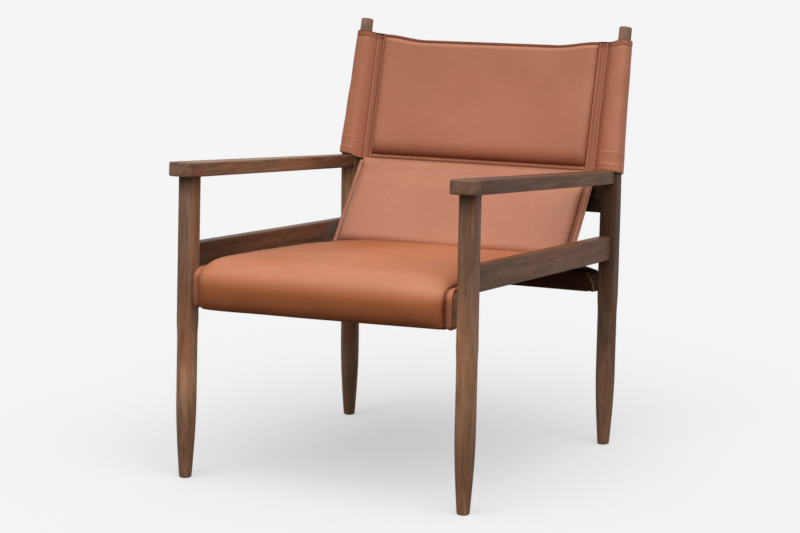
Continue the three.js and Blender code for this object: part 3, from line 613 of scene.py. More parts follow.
def addCrossRails():
    bury, sunkFrom, sunkBy, upper = 5.0, 218, 238, 12  # only the upper part of the section sinks
    reach = stance["legX"] - legShape["half"] + bury
    for name, facts in crossFacts.items():
        flat = roundedBar(facts["thick"], facts["height"], facts["rounds"])
        middle = facts["bottom"] + facts["height"] / 2
        rings = []
        for x in np.linspace(-reach, reach, 60):
            ends = facts.get("sunk", 0) * float(smoothStep(-x, sunkFrom, sunkBy))
            height = middle + flat[:, 1] - ends * np.clip(flat[:, 1] / upper, 0, 1)
            rings.append(np.column_stack([np.full(len(flat), x), railY(facts) + flat[:, 0], height]))
        wood = makeWood(f"wood_{facts['node']}", "x", facts["seed"], facts["depth"])
        loftPiece(f"{name}Rail", rings, wood, dict(slot="frame_wood", nodes=[facts["node"]]))


# Arms: boards wider at the nose; the right one is turned and thicker at its ends, the left one thicker below
armShape = dict(front=25.0, rear=15.6, overhang=33.0, corner=13.0, heel=10.0, inner=4.0, ease=2.8,
                tailGap=1.0)
armFit = dict(span=(-364, 260), turned=(-5.6, 3.4), noseLift=1.5, heelDrop=1.4, leftDrop=(1.9, 1.1), seed=31,
              depth=dict(right=0.80, left=1.48))
# Tone along each arm from the nose back, with painted shadow at the rear end where the arm meets the post
armGain = dict(
    right=[(-364, (1.45, 1.5, 1.65)), (-348, 1.3), (-330, (0.76, 0.52, 0.46)), (-240, (0.86, 0.68, 0.66)),
           (-100, (0.97, 0.82, 0.76)), (120, (0.95, 0.88, 0.80)), (205, (0.8, 0.76, 0.74)),
           (245, (1.05, 1.05, 1.1)), (275, 0.5)],
    left=[(-364, (0.85, 0.92, 1.05)), (-345, (0.92, 1.0, 1.1)), (-320, (1.08, 1.2, 1.3)),
          (0, (0.92, 1.05, 1.1)), (150, (0.75, 0.8, 0.85)), (235, 0.5), (275, 0.36)])


def armOutline():
    front, rear, corner = armShape["front"], armShape["rear"], armShape["corner"]
    tail = armRun / math.cos(armSlope) - legShape["half"] + armShape["tailGap"]
    nose = -armShape["overhang"]
    points = arcPoints((-front + corner, nose + corner), corner, 180, 8)
    points += arcPoints((front - corner, nose + corner), corner, 270, 8)
    edges = np.linspace(0.04, 0.975, 30)
    points += [(mixed(front, rear, t), mixed(nose + corner, tail, t)) for t in edges]
    for sign, r, start in ((1, armShape["heel"], 0), (-1, armShape["inner"], 90)):
        points += arcPoints((sign * (rear - r), tail - r), r, start, 6)
    points += [(-mixed(front, rear, t), mixed(nose + corner, tail, t)) for t in edges[::-1]]
    return np.array(points)


def insetOutline(outline, amount):
    ahead = np.roll(outline, -1, 0) - outline
    back = outline - np.roll(outline, 1, 0)
    way = ahead / np.linalg.norm(ahead, axis=1)[:, None] + back / np.linalg.norm(back, axis=1)[:, None]
    way /= np.linalg.norm(way, axis=1)[:, None]
    inward = np.stack([-way[:, 1], way[:, 0]], 1)
    return outline + inward * amount


def armLayers():  # (inset, height) of each ring, eased at the bottom and the top
    ease, support = armShape["ease"], 0.8
    layers = [(ease + support, 0.0)]
    for turn in np.linspace(0, pi / 2, 6):
        layers.append((ease * (1 - math.sin(turn)), ease * (1 - math.cos(turn))))
    layers.append((0.0, ease + support))
    return layers + [(inset, armLine["thick"] - z) for inset, z in layers[::-1]]


def addArms():
    outline, layers, (start, end) = armOutline(), armLayers(), armFit["span"]
    for side, word in bothSides:
        rings = []
        for inset, z in layers:
            flat = insetOutline(outline, inset)
            y = flat[:, 1] * math.cos(armSlope) + z * math.sin(armSlope) + armFrontY
            up = z * math.cos(armSlope) - flat[:, 1] * math.sin(armSlope) + armLine["underZ"]
            share, along = z / armLine["thick"], np.clip((y - start) / (end - start), 0, 1)
            if side > 0:
                up += share * armFit["noseLift"] * (1 - along) - (1 - share) * armFit["heelDrop"] * along
            else:
                up -= (1 - share) * mixed(*armFit["leftDrop"], along)
            rings.append(np.column_stack([flat[:, 0], y, up]))
        gain = dict(axis="y", stops=armGain[word])
        wood = makeWood(f"wood_arm_{word}", "y", armFit["seed"] + side, armFit["depth"][word], gain)
        spec = dict(x=stance["legX"], slot="frame_wood", nodes=[f"arm_{word}"])
        if side > 0:
            spec["drift"] = (1, armFit["span"], armFit["turned"])
        loftPiece(f"arm.{word}", rings, wood, spec, side)


addLegs()
addSideRails()
addCrossRails()
addArms()
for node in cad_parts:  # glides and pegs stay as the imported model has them
    kept = nylon if "glide" in node else beech if "dowel" in node else None
    if kept:
        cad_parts[node].data.materials.clear()
        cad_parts[node].data.materials.append(kept)
print("wooden frame made")


# Lines that the slings follow, as (y, z) points with outward normals

def tracePath(parts, spacing=2.0):
    points = []
    for kind, *values in parts:
        if kind == "line":
            a, b = np.array(values[0], float), np.array(values[1], float)
            count = max(2, int(np.linalg.norm(b - a) / spacing))
            points += [a + (b - a) * t for t in np.linspace(0, 1, count + 1)]
        elif kind == "arc":
            centre, r, start, end = values
            count = max(6, int(abs(end - start) * r / spacing * 2))
            for turn in np.linspace(start, end, count + 1):
                points.append(np.array(centre) + r * np.array((math.cos(turn), math.sin(turn))))
        else:
            a, b, c = (np.array(v, float) for v in values)
            points += [a * (1 - t) ** 2 + 2 * b * t * (1 - t) + c * t * t for t in np.linspace(0, 1, 17)]
    kept = [points[0]]
    for p in points[1:]:
        if np.linalg.norm(p - kept[-1]) > 0.05:
            kept.append(p)
    return np.array(kept)


def normalsOf(line):
    way = np.gradient(line, axis=0)
    way /= np.linalg.norm(way, axis=1)[:, None]
    return np.stack([-way[:, 1], way[:, 0]], 1)


def lengthsOf(line):
    return np.concatenate([[0], np.cumsum(np.linalg.norm(np.diff(line, axis=0), axis=1))])


def sweep(line, across, lift):  # grid of points: rows along the line, columns across the chair
    normal = normalsOf(line)
    across = np.broadcast_to(across, lift.shape)
    rows = []
    for k in range(len(line)):
        y = line[k, 0] + normal[k, 0] * lift[k]
        z = line[k, 1] + normal[k, 1] * lift[k]
        rows.append(np.column_stack([across[k], y, z]))
    return np.array(rows)


slingFacts = dict(off=0.4, creaseY=206.0, creaseZ=366.0, turn=18.0, under=15.0, half=253.0,
                  flapTop=334.5, ease=3)


def seatLine():  # from under the front rail, over it, down to the crease, and round the rear rail to its flap
    front, rear, off, ease = crossFacts["front"], crossFacts["rear"], slingFacts["off"], slingFacts["ease"]
    faceY, top, big = railY(front) - front["thick"] / 2, front["bottom"] + front["height"], front["rounds"][1]
    creaseY, creaseZ, turn = slingFacts["creaseY"], slingFacts["creaseZ"], slingFacts["turn"]
    dip = math.atan2(top + off - creaseZ, creaseY - faceY - big)
    nearY, wide = railY(rear) - rear["thick"] / 2, rear["rounds"][0]
    farY = nearY + rear["thick"]
    heel = (farY - wide, rear["bottom"] + rear["height"] - wide)
    reach = math.hypot(heel[0] - creaseY, creaseZ - heel[1])
    fall = math.atan2(creaseZ - heel[1], heel[0] - creaseY) - math.asin((wide + off) / reach)
    land = (heel[0] + (wide + off) * math.sin(fall), heel[1] + (wide + off) * math.cos(fall))
    aim = np.array(land) - (creaseY, creaseZ)
    aim *= turn / np.linalg.norm(aim)
    hit = (faceY + big + (big + off) * math.sin(dip), top - big + (big + off) * math.cos(dip))
    bend = (creaseY - turn, creaseZ + turn * math.tan(dip))
    out = (creaseY + aim[0], creaseZ + aim[1])
    frontLow, rearLow = front["bottom"], rear["bottom"]
    return tracePath([
        ("line", (faceY + ease + slingFacts["under"], frontLow - off), (faceY + ease, frontLow - off)),
        ("arc", (faceY + ease, frontLow + ease), ease + off, -pi / 2, -pi),
        ("line", (faceY - off, frontLow + ease), (faceY - off, top - big)),
        ("arc", (faceY + big, top - big), big + off, pi, pi / 2 - dip),
        ("line", hit, bend),
        ("quad", bend, (creaseY, creaseZ), out),
        ("line", out, land),
        ("arc", heel, wide + off, pi / 2 - fall, 0),
        ("line", (farY + off, heel[1]), (farY + off, rearLow + ease)),
        ("arc", (farY - ease, rearLow + ease), ease + off, 0, -pi / 2),
        ("line", (farY - ease, rearLow - off), (nearY + ease, rearLow - off)),
        ("arc", (nearY + ease, rearLow + ease), ease + off, -pi / 2, -pi),
        ("line", (nearY - off, rearLow + ease), (nearY - off, slingFacts["flapTop"])),
    ])


lowerFacts = dict(foot=(196.2, 370.4), lead=2.0, bow=2.0, tail=36, half=dict(right=253.0, left=255.0))


def lowerLine():  # from the crease up to the crossbar, over it and down behind
    bar, off = crossFacts["bar"], slingFacts["off"]
    faceY, top, big = railY(bar) - bar["thick"] / 2, bar["bottom"] + bar["height"], bar["rounds"][0]
    foot = np.array(lowerFacts["foot"])
    corner = np.array((faceY + big, top - big))
    reach = corner - foot
    lean = math.atan2(reach[1], reach[0]) + lowerFacts["lead"] / np.linalg.norm(reach)
    outward = np.array((-math.sin(lean), math.cos(lean)))
    meet = corner + outward * (big + off)
    bow = (foot + meet) / 2 - outward * lowerFacts["bow"]
    rear = faceY + bar["thick"] - big
    behind = rear + big + off
    return tracePath([
        ("quad", foot, bow, meet),
        ("arc", corner, big + off, pi / 2 + lean, pi / 2),
        ("line", (corner[0], top + off), (rear, top + off)),
        ("arc", (rear, top - big), big + off, pi / 2, 0),
        ("line", (behind, top - big), (behind, top - big - lowerFacts["tail"])),
    ], 3.0)


seatPath = seatLine()
lowerPath = lowerLine()
seatY, seatZ = seatPath.T
lowerY, lowerZ = lowerPath.T
lowerHalf = {word: np.full(len(lowerPath), half) for word, half in lowerFacts["half"].items()}
tailFacts = dict(narrow=255, rail=257.5, flap=248.7, flapEnd=243, narrowAt=26, flapAt=(13, 24),
                 looseLeft=2.4, looseRun=(-250, 100))


def seatHalf(side):  # half width along the seat's line: wider on the rear rail, rounded off at the flap
    lengths, order, rail = lengthsOf(seatPath), np.arange(len(seatPath)), crossFacts["rear"]
    face = railY(rail) - rail["thick"] / 2
    crease = np.argmax(seatY > slingFacts["creaseY"])
    landed = np.argmax(seatY > face)
    flap = np.argmax((order > landed) & (seatY < face))
    spots = [lengths[crease], lengths[crease] + tailFacts["narrowAt"], lengths[landed], lengths[flap]]
    spots += [lengths[flap] + spot for spot in tailFacts["flapAt"]] + [lengths[-1]]
    narrow, wide = tailFacts["narrow"], tailFacts["rail"]
    halves = [slingFacts["half"], narrow, wide, wide, narrow, tailFacts["flap"], tailFacts["flapEnd"]]
    loose = tailFacts["looseLeft"] * (1 - smoothStep(seatY, *tailFacts["looseRun"])) * (order < crease)
    return np.interp(lengths, spots, halves) + (loose if side < 0 else 0)


# Folded hems: a valley beside the padding and a rolled, sewn outer edge, as (across, height) points,
# with the shade at spots across
seatEdge = dict(width=15.0, sewn=10.9, form=np.array([
    (0.0, 1.6), (1.2, 1.7), (2.6, 1.9), (4.0, 2.3), (5.2, 3.0), (6.2, 3.8), (7.2, 4.4), (8.4, 4.7),
    (9.6, 4.75), (10.4, 4.6), (10.9, 4.3), (11.4, 4.55), (12.2, 4.7), (13.2, 4.4), (14.2, 3.6), (14.8, 2.5),
    (15.0, 1.0)]),
    dark=([0, 2.6, 5.2, 7.2, 10.2, 10.9, 11.6, 15], [0.8, 0.6, 0.32, 0, 0, 0.22, 0, 0]))
lowerEdge = dict(
    right=dict(width=18.0, sewn=14.8, form=np.array([
        (0.0, 1.6), (2.0, 1.5), (5.0, 1.5), (7.5, 1.6), (8.6, 1.9), (9.4, 3.0), (10.4, 4.7), (11.4, 5.5),
        (12.4, 5.4), (13.4, 4.4), (14.2, 3.7), (15.0, 3.5), (16.0, 3.6), (17.0, 3.2), (17.7, 2.2),
        (18.0, 1.0)]),
        dark=([0, 1, 6, 8.4, 9.6, 10.6, 13, 14.2, 15.2, 16.4, 18],
              [0.75, 0.66, 0.58, 0.45, 0.2, 0, 0, 0.5, 0.5, 0.1, 0.1])),
    left=dict(width=20.0, sewn=15.4, form=np.array([
        (0.0, 1.6), (2.0, 1.5), (5.0, 1.5), (7.5, 1.6), (8.8, 1.9), (9.6, 2.8), (10.6, 3.9), (11.8, 4.7),
        (13.2, 5.0), (14.6, 4.9), (16.0, 4.4), (17.5, 3.6), (18.8, 2.6), (19.6, 1.7), (20.0, 0.9)]),
        dark=([0, 8.8, 10.2, 12, 15, 17.5, 20], [0.6, 0.55, 0.3, 0.06, 0.06, 0.25, 0.35])))
# under is painted shade on the hems' undersides, litRimRun the painted lit rim at the flap's edge, tailShadow
# where painted shadow covers the tail
hemFacts = dict(seatSeed=40, lowerSeed=44, thinned=0.65, ripple=0.16, rippleLength=26, bury=0.05,
                under=0.7, litRimRun=(2.0, 0.6),
                frontY=-280, tailY=215, tailShadow=(196, 240), barY=(313, 317), barZ=(512, 519), raisedOver=3)


def hemFall(line, edge, across, falls):  # how far a hem drops towards its outer edge
    drop = falls.get("fall", np.zeros(len(line))) * np.clip(normalsOf(line)[:, 1], 0, 1)
    return drop[:, None] * (np.atleast_1d(across) / edge["width"])[None, :] ** 1.2


def hemStrip(name, line, half, side, edge, material, spec):
    form, width, none = edge["form"], edge["width"], np.zeros(len(line))
    shadow, raised = spec.get("shadow", none)[:, None], spec.get("raised", none)[:, None]
    across = side * (half[:, None] - width + form[None, :, 0])
    thin = (1 - hemFacts["thinned"] * shadow) * spec.get("low", 1.0)
    fall = hemFall(line, edge, form[:, 0], spec)
    onBar = np.clip(raised / hemFacts["raisedOver"], 0, 1)
    rise = mixed(form[None, :, 1] * thin, form[:, 1].max(), onBar) + raised
    upper = sweep(line, across, rise - fall)
    ripple = waves(upper.reshape(-1, 3), hemFacts["rippleLength"], spec["seed"]) * hemFacts["ripple"]
    upper[:, :, 1:] += ripple.reshape(len(line), -1, 1) * normalsOf(line)[:, None, :]
    lower = sweep(line, across, hemFacts["bury"] - fall)
    for sheet in (upper, lower):
        sheet[:, :, 2] -= spec.get("sag", none)[:, None]
    points, faces = closedSheet(upper, lower)
    # painted shadow on the hem's tail and flap, left off a narrow rim at the flap's outer edge as a painted
    # lit edge
    onFlap = (np.arange(len(line)) >= spec.get("flap", len(line)))[:, None]
    shadowOffRim = 1 - onFlap * smoothStep(form[:, 0], *(width - inside for inside in hemFacts["litRimRun"]))
    # painted shade across the hem in the valley beside the padding and in the sewn grooves, on the front of
    # the seat hems, and on the undersides
    sewn = np.interp(form[:, 0], *edge["dark"]) * spec.get("depth", 1.0)
    dark = np.maximum(sewn[None, :], shadow * shadowOffRim)
    dark = 1 - (1 - dark) * (1 - spec.get("front", none)[:, None])
    under = np.where(shadow > 0.5, 1.0, hemFacts["under"])
    shade = np.concatenate([dark.ravel(), np.repeat(under, len(form))])
    obj = makePiece(name, points, faces, material, dict(spec, shade=shade, slot="leather"))
    if "tail" in spec:  # behind the crease the hem takes the dull tail leather
        obj.data.materials.append(leathers["tail"])
        columns = len(form)
        behind = np.array([min(f) % (len(line) * columns) // columns >= spec["tail"] for f in faces])
        obj.data.polygons.foreach_set("material_index", behind.astype(np.int32))


frontHem = dict(  # shade by height on the front of the seat hems
    right=([318, 330, 352, 362, 372, 384], [0.62, 0.60, 0.54, 0.42, 0.10, 0.0]),
    left=([318, 326, 344, 362, 372, 380, 384], [0.85, 0.75, 0.55, 0.50, 0.38, 0.22, 0.12]))
seatFalls = dict(  # the left seat hem is thinner, and drops outwards at the front corner and below
    right=dict(low=1.0),
    left=dict(low=0.78, fall=3.3 * (1 - smoothStep(seatY, -318, -296)),
              sag=4.2 * (1 - smoothStep(seatZ, 322, 350)) * (seatY < -250)))
seatHemDepth = dict(right=1.0, left=0.6)
barRise = 3.8  # how much the leather bulges over the top of the crossbar


def addHems():
    facts = hemFacts
    tail = dict(shadow=smoothStep(seatY, *facts["tailShadow"]), tail=np.argmax(seatY > facts["tailY"]),
                flap=np.argmin(seatZ))
    raised = barRise * smoothStep(lowerY, *facts["barY"]) * smoothStep(lowerZ, *facts["barZ"])
    for side, word in bothSides:
        front = np.interp(seatZ, *frontHem[word]) * (seatY < facts["frontY"])
        spec = dict(nodes=[f"seat_hem_{word}"], depth=seatHemDepth[word], front=front,
                    seed=facts["seatSeed"] + side)
        spec.update(tail, **seatFalls[word])
        hemStrip(f"seatHem.{word}", seatPath, seatHalf(side), side, seatEdge, leathers["seat"], spec)
        spec = dict(nodes=[f"lower_back_hem_{word}"], raised=raised, seed=facts["lowerSeed"] + side)
        hemStrip(f"lowerHem.{word}", lowerPath, lowerHalf[word], side, lowerEdge[word], leathers["lower"],
                 spec)


addHems()
print("hems made")


# Padded panels

def splineThrough(points, count):
    points = np.array(points, float)
    t = lengthsOf(points)
    t /= t[-1]
    slope = np.gradient(points, t, axis=0)
    out = []
    for s in np.linspace(0, 1, count):
        k = min(np.searchsorted(t, s, "right") - 1, len(t) - 2)
        h = t[k + 1] - t[k]
        u = (s - t[k]) / h
        a, b, c, d = 2 * u**3 - 3 * u**2 + 1, u**3 - 2 * u**2 + u, -2 * u**3 + 3 * u**2, u**3 - u**2
        out.append(a * points[k] + b * h * slope[k] + c * points[k + 1] + d * h * slope[k + 1])
    return np.array(out)


def spread(count):  # -1 to 1, closer together at the ends
    return np.sin(np.linspace(-1, 1, count) * pi / 2)


def fullness(s, sharpness):  # full in the middle, falling to nothing at both ends
    return np.sqrt(np.clip(1 - np.abs(s) ** sharpness, 0, 1))


def roll(gap, radius):  # quarter round from nothing at an edge to full
    t = np.clip(np.asarray(gap, float) / radius, 0, 1)
    return np.sqrt(1 - (1 - t) ** 2)


def puckers(along, length, sway, swayLength):  # uneven waves along a seam
    return np.sin(along / length + sway * np.sin(along / swayLength))


# Seat pad: an edge line and a crown line, blended across the width
seatLines = [  # edge (y, z), crown (y, z), from under the front rail to the crease
    ((-300, 315.8), (-298, 313.2)), ((-312, 315.6), (-311, 312.2)), ((-319.6, 316.4), (-320, 314.2)),
    ((-323.2, 320), (-328.5, 319.2)), ((-324.6, 327), (-335.5, 327.5)), ((-324.8, 338), (-340.2, 339)),
    ((-324.8, 350), (-342.0, 351)), ((-324.6, 360), (-341.2, 363)), ((-323.6, 368.5), (-337.8, 374.5)),
    ((-320.2, 376.5), (-331.2, 385)), ((-313.5, 381.8), (-321, 394.5)), ((-303, 383.4), (-306.5, 401.5)),
    ((-285, 383.2), (-286, 406)), ((-255, 382.3), (-250, 408.6)), ((-200, 380.7), (-190, 408)),
    ((-100, 378.1), (-95, 404)), ((0, 375.2), (0, 398)), ((90, 372.7), (90, 391.2)),
    ((150, 371.0), (150, 385.5)), ((176, 370.1), (177, 381.5)), ((186, 368.9), (187.5, 377)),
    ((188.5, 367.2), (191, 369.6))]
seatPadFacts = dict(rows=190, columns=150, overlap=0.3, fullLeft=14.0, fullRight=9.0, wideLeft=2.2,
                    frontEdges=11, frontInset=(1.6, 0.8), topInset=(0, -1.6), soft=0.9, softLength=150,
                    seed=5, pucker=14.0, puckerWave=(9.5, 1.7, 41.0), wrinkle=0.55, cornerWrinkle=1.1,
                    cornerRun=120, lean=(0.05, 0.24), leanRun=(-300, -190), leanFrom=(0.45, 0.97),
                    easeRun=(6, 30), droop=4.6, droopFrom=200, droopWide=450, droopRun=(40, 75), under=0.8,
                    fill=0.85)
# Painted shade and dulling of the seat: shade in the seam, low on the front, a little over the top and on the
# left half so that the roll reads as a painted highlight, at the rear left, along the left edge and in fine
# folds at the right front corner; a Run is along the crown line, from under the front rail, or along X or Y
seatTone = dict(seamReach=2.6, seamLeft=0.4, seamRight=0.6, front=0.26, frontRun=(66, 100),
                top=0.05, topRun=(140, 190), left=0.05, leftRunX=(60, 200),
                rear=0.26, rearRunY=(-230, 120), rearFromX=60, rearWide=320,
                side=0.36, sideReach=105, sideRun=(125, 165),
                folds=0.22, foldReach=9.0, foldsStart=(30, 50), foldsEnd=(90, 112),
                dullAhead=([70, 87, 104, 132, 152, 200], [1, 0.4, 0, 0, 0.5, 0.5]),
                dullBehind=([118, 140, 160, 215], [0, 0.45, 0.74, 0.88]), dullRunX=(-60, 90))


def seatUnderside():  # the pad's lower face: inside the edge line at the front, below it on the top
    points = []
    for i, ((y, z), _) in enumerate(seatLines):
        inset = seatPadFacts["frontInset" if i < seatPadFacts["frontEdges"] else "topInset"]
        points.append((y + inset[0], z + inset[1]))
    return splineThrough(points, seatPadFacts["rows"])


def seatShade(x, y, gap, lengths):
    tone, left = seatTone, x < 0
    dark = np.exp(-gap / tone["seamReach"]) * np.where(left, tone["seamLeft"], tone["seamRight"])
    dark += tone["front"] * (1 - smoothStep(lengths, *tone["frontRun"]))
    above, aside = smoothStep(lengths, *tone["topRun"]), smoothStep(-x, *tone["leftRunX"])
    dark += tone["top"] * above + tone["left"] * aside
    leftward = np.clip((tone["rearFromX"] - x) / tone["rearWide"], 0, 1)
    dark += tone["rear"] * smoothStep(y, *tone["rearRunY"]) * leftward
    dark += tone["side"] * np.exp(-gap / tone["sideReach"]) * left * smoothStep(lengths, *tone["sideRun"])
    crossed = np.sin((lengths + 1.4 * gap) / 2.9 + 0.8 * np.sin(lengths / 13.0))
    folds = np.clip(crossed, 0, 1) * np.exp(-gap / tone["foldReach"])
    begun, ended = smoothStep(lengths, *tone["foldsStart"]), smoothStep(lengths, *tone["foldsEnd"])
    dark += tone["folds"] * folds * (x > 0) * begun * (1 - ended)
    return np.clip(dark, 0, 1)


def seatDull(x, lengths):  # glossy on the roll, matt on the front and towards the rear left
    ahead = np.interp(lengths, *seatTone["dullAhead"])
    behind = np.interp(lengths, *seatTone["dullBehind"])
    return np.maximum(ahead, behind * smoothStep(-x, *seatTone["dullRunX"]))


def addSeatPad():
    facts = seatPadFacts
    rows, columns = facts["rows"], facts["columns"]
    edge, peak = (splineThrough([p[k] for p in seatLines], rows) for k in (0, 1))
    s, way, lengths = spread(columns), normalsOf(peak), lengthsOf(peak)[:, None]
    lean = mixed(*facts["lean"], smoothStep(edge[:, :1], *facts["leanRun"]))
    lean = lean * smoothStep(-s, *facts["leanFrom"])[None, :]
    ends = np.where(s < 0, fullness(s, facts["fullLeft"]), fullness(s, facts["fullRight"]))
    full = (ends[None, :] * (1 - lean))[:, :, None]
    loose = np.where(s < 0, facts["wideLeft"], 0.0) * (1 - smoothStep(edge[:, :1], *tailFacts["looseRun"]))
    reach = slingFacts["half"] - seatEdge["width"] + facts["overlap"] + loose
    x = s * reach
    gap = reach - np.abs(x)
    upper = np.dstack([x, edge[:, None, :] * (1 - full) + peak[:, None, :] * full])
    corner = (x > 0) * (lengths < facts["cornerRun"])
    pucker = np.exp(-gap / facts["pucker"]) * (gap > 0.5)
    wrinkle = puckers(lengths, *facts["puckerWave"]) * pucker
    wrinkle *= mixed(facts["wrinkle"], facts["cornerWrinkle"], corner)
    soft = waves(upper.reshape(-1, 3), facts["softLength"], facts["seed"]).reshape(rows, columns)
    soft = soft * full[:, :, 0]
    lift = (wrinkle + soft * facts["soft"]) * smoothStep(lengths, *facts["easeRun"])
    upper[:, :, 1:] += lift[:, :, None] * way[:, None, :]
    droop = facts["droop"] * np.clip((facts["droopFrom"] - x) / facts["droopWide"], 0, 1)
    upper[:, :, 2] -= droop * (1 - smoothStep(lengths, *facts["droopRun"]))
    lower = np.dstack([x, np.tile(seatUnderside()[:, None, :], (1, columns, 1))])
    points, faces = closedSheet(upper, lower)
    # painted shade on the underside
    under = np.ones(rows * columns)
    shade = np.concatenate([seatShade(x, upper[:, :, 1], gap, lengths).ravel(), under * facts["under"]])
    dull = np.concatenate([seatDull(x, lengths).ravel(), under])
    pad = makePiece("seatPad", points, faces, leathers["seat"], dict(
        slot="leather", nodes=["seat_leather", "seat_foam"], shade=shade, dull=dull, sharp=60))


addSeatPad()
lowerPadFacts = dict(rows=130, columns=140, left=243.6, right=237.0, base=2.0, thick=14.0, thin=5.2,
                     extra=0.6, soft=0.8, softLength=130, seed=9, pucker=0.45, puckerReach=13.0,
                     puckerWave=(9.0, 1.3, 33.0), fill=0.7,
                     footRoll=16.0, endRoll=5.0, sideRoll=(22.0, 20.0), shoulder=0.84, shoulderRoll=80.0,
                     thinRun=(84, 46), stop=(322.0, 506.0), softZ=(500, 514), flatZ=(508, 518),
                     barY=(315.5, 319.5), barZ=(512, 519), seam=0.6, seamReach=2.4, under=0.8,
                     wrapHalf=234.0, wrap=(4.2, 2.3), wrapLap=3, wrapColumns=60)


def addLowerPad():  # lies over the hem at the left, thins out over the crossbar and ends behind it
    facts = lowerPadFacts
    rows, columns = facts["rows"], facts["columns"]
    stop = np.argmax((lowerY > facts["stop"][0]) & (lowerZ < facts["stop"][1]))
    line = splineThrough(lowerPath[:stop + 1:2], rows)
    way, along, s = normalsOf(line), lengthsOf(line)[:, None], spread(columns)
    y, z = line[:, :1], line[:, 1:]
    half = np.where(s < 0, facts["left"], facts["right"])
    x = np.tile(s * half, (rows, 1))
    gap = half - np.abs(x)
    flat = np.dstack([x, np.tile(line[:, None, :], (1, columns, 1))]).reshape(-1, 3)
    soft = waves(flat, facts["softLength"], facts["seed"]).reshape(rows, columns) * facts["soft"]
    soft *= 1 - smoothStep(z, *facts["softZ"])
    ends = roll(along, facts["footRoll"]) * roll(along[-1] - along, facts["endRoll"])
    thinned = smoothStep(along, *(along[-1] - before for before in facts["thinRun"]))
    thick = mixed(facts["thick"], facts["thin"], thinned)
    sides = roll(gap, np.where(x < 0, *facts["sideRoll"]))
    sides = sides * mixed(facts["shoulder"], 1.0, roll(gap, facts["shoulderRoll"]))
    sides = mixed(sides, 1.0, smoothStep(z, *facts["flatZ"]) * (np.abs(x) < half - 0.1))
    pucker = np.exp(-gap / facts["puckerReach"]) * puckers(along, *facts["puckerWave"]) * facts["pucker"]
    rise = barRise * smoothStep(y, *facts["barY"]) * smoothStep(z, *facts["barZ"])
    lift = facts["base"] + ends * (sides * (thick + facts["extra"] + rise + soft) + pucker)
    upper = np.dstack([x, line[:, None, :] + lift[:, :, None] * way[:, None, :]])
    lower = np.dstack([x, line[:, None, :] + facts["base"] * np.tile(way[:, None, :], (1, columns, 1))])
    points, faces = closedSheet(upper, lower)
    # painted shade at the side seams and on the underside
    dark = np.exp(-gap / facts["seamReach"]) * facts["seam"]
    shade = np.concatenate([dark.ravel(), np.full(rows * columns, facts["under"])])
    pad = makePiece("lowerPad", points, faces, leathers["lower"], dict(
        slot="leather", nodes=["lower_back_leather", "lower_back_foam"], shade=shade, sharp=60))
    wrap = lowerPath[stop - facts["wrapLap"]:]
    across = np.linspace(-facts["wrapHalf"], facts["wrapHalf"], facts["wrapColumns"])
    level = np.ones((len(wrap), facts["wrapColumns"]))
    upper, lower = (sweep(wrap, across, level * off) for off in facts["wrap"])
    points, faces = closedSheet(upper, lower)
    spec = dict(slot="leather", shade=np.zeros(len(points)))
    tail = makePiece("lowerWrap", points, faces, leathers["lower"], spec)


addLowerPad()

# Carrier cloth: thicknesses, the lower back's half width, the gap beside the seat hems, and where it is cut
canvasCut = dict(seat=1.3, tail=2.0, lower=1.8, lowerHalf=234.6, gap=0.6, front=(-306, 370), crease=186,
                 columns=60)


def addCanvas():
    across = np.linspace(-1, 1, canvasCut["columns"])[None, :]
    front = np.argmax((seatY > canvasCut["front"][0]) & (seatZ > canvasCut["front"][1]))
    crease = np.argmax(seatY > canvasCut["crease"])
    inner = seatHalf(1)[:, None] - seatEdge["width"] - canvasCut["gap"]
    sheets = (("seatCanvas", slice(front, crease + 1), canvasCut["seat"], ["seat_canvas"]),
              ("seatTail", slice(crease, None), canvasCut["tail"], []))
    for name, part, thick, nodes in sheets:
        line, wide = seatPath[part], across * inner[part]
        points, faces = closedSheet(sweep(line, wide, wide * 0 + thick), sweep(line, wide, wide * 0))
        cloth = makePiece(name, points, faces, canvas, dict(slot="canvas", nodes=nodes))
    wide = across * np.full((len(lowerPath), 1), canvasCut["lowerHalf"])
    upper = sweep(lowerPath, wide, wide * 0 + canvasCut["lower"])
    points, faces = closedSheet(upper, sweep(lowerPath, wide, wide * 0))
    cloth = makePiece("lowerCanvas", points, faces, canvas, dict(slot="canvas", nodes=["lower_back_canvas"]))


addCanvas()
print("seat and lower back made")


# Upper back sling, in the raked frame of the posts: x across, depth to the rear, along up the posts

def raked(points):
    p = np.array(points, float)
    lean = stance["rake"]
    y = stance["rearY"] + p[:, 2] * math.sin(lean) + p[:, 1] * math.cos(lean)
    z = stance["bendZ"] + p[:, 2] * math.cos(lean) - p[:, 1] * math.sin(lean)
    return np.column_stack([p[:, 0], y, z])


backFacts = dict(seam=229.0, top=224.5, lift=9.0, curve=90.0, bottom=-15.0, sleeveTop=238.0)
backPadFacts = dict(rows=130, columns=150, overlap=0.4, bottom=6.0, top=6.5, front=2.4, rear=2.6,
                    crown=15.0, swell=4.0, soft=0.9, softLength=170, seed=12, pucker=0.4,
                    puckerReach=12.0, puckerWave=(8.7, 1.4, 37.0),
                    sideRoll=21.0, footRoll=32.0, topRoll=9.0, shoulder=0.86, shoulderRoll=100.0, upper=0.86,
                    upperZ=(30, 150), seam=0.4, seamReach=2.0, foot=0.96, footReach=11.5, darkest=0.95,
                    fill=0.75)


def backTop(x):  # the top edge rises towards the posts
    seam = backFacts["seam"]
    return backFacts["top"] + backFacts["lift"] * smoothStep(np.abs(x), seam - backFacts["curve"], seam)


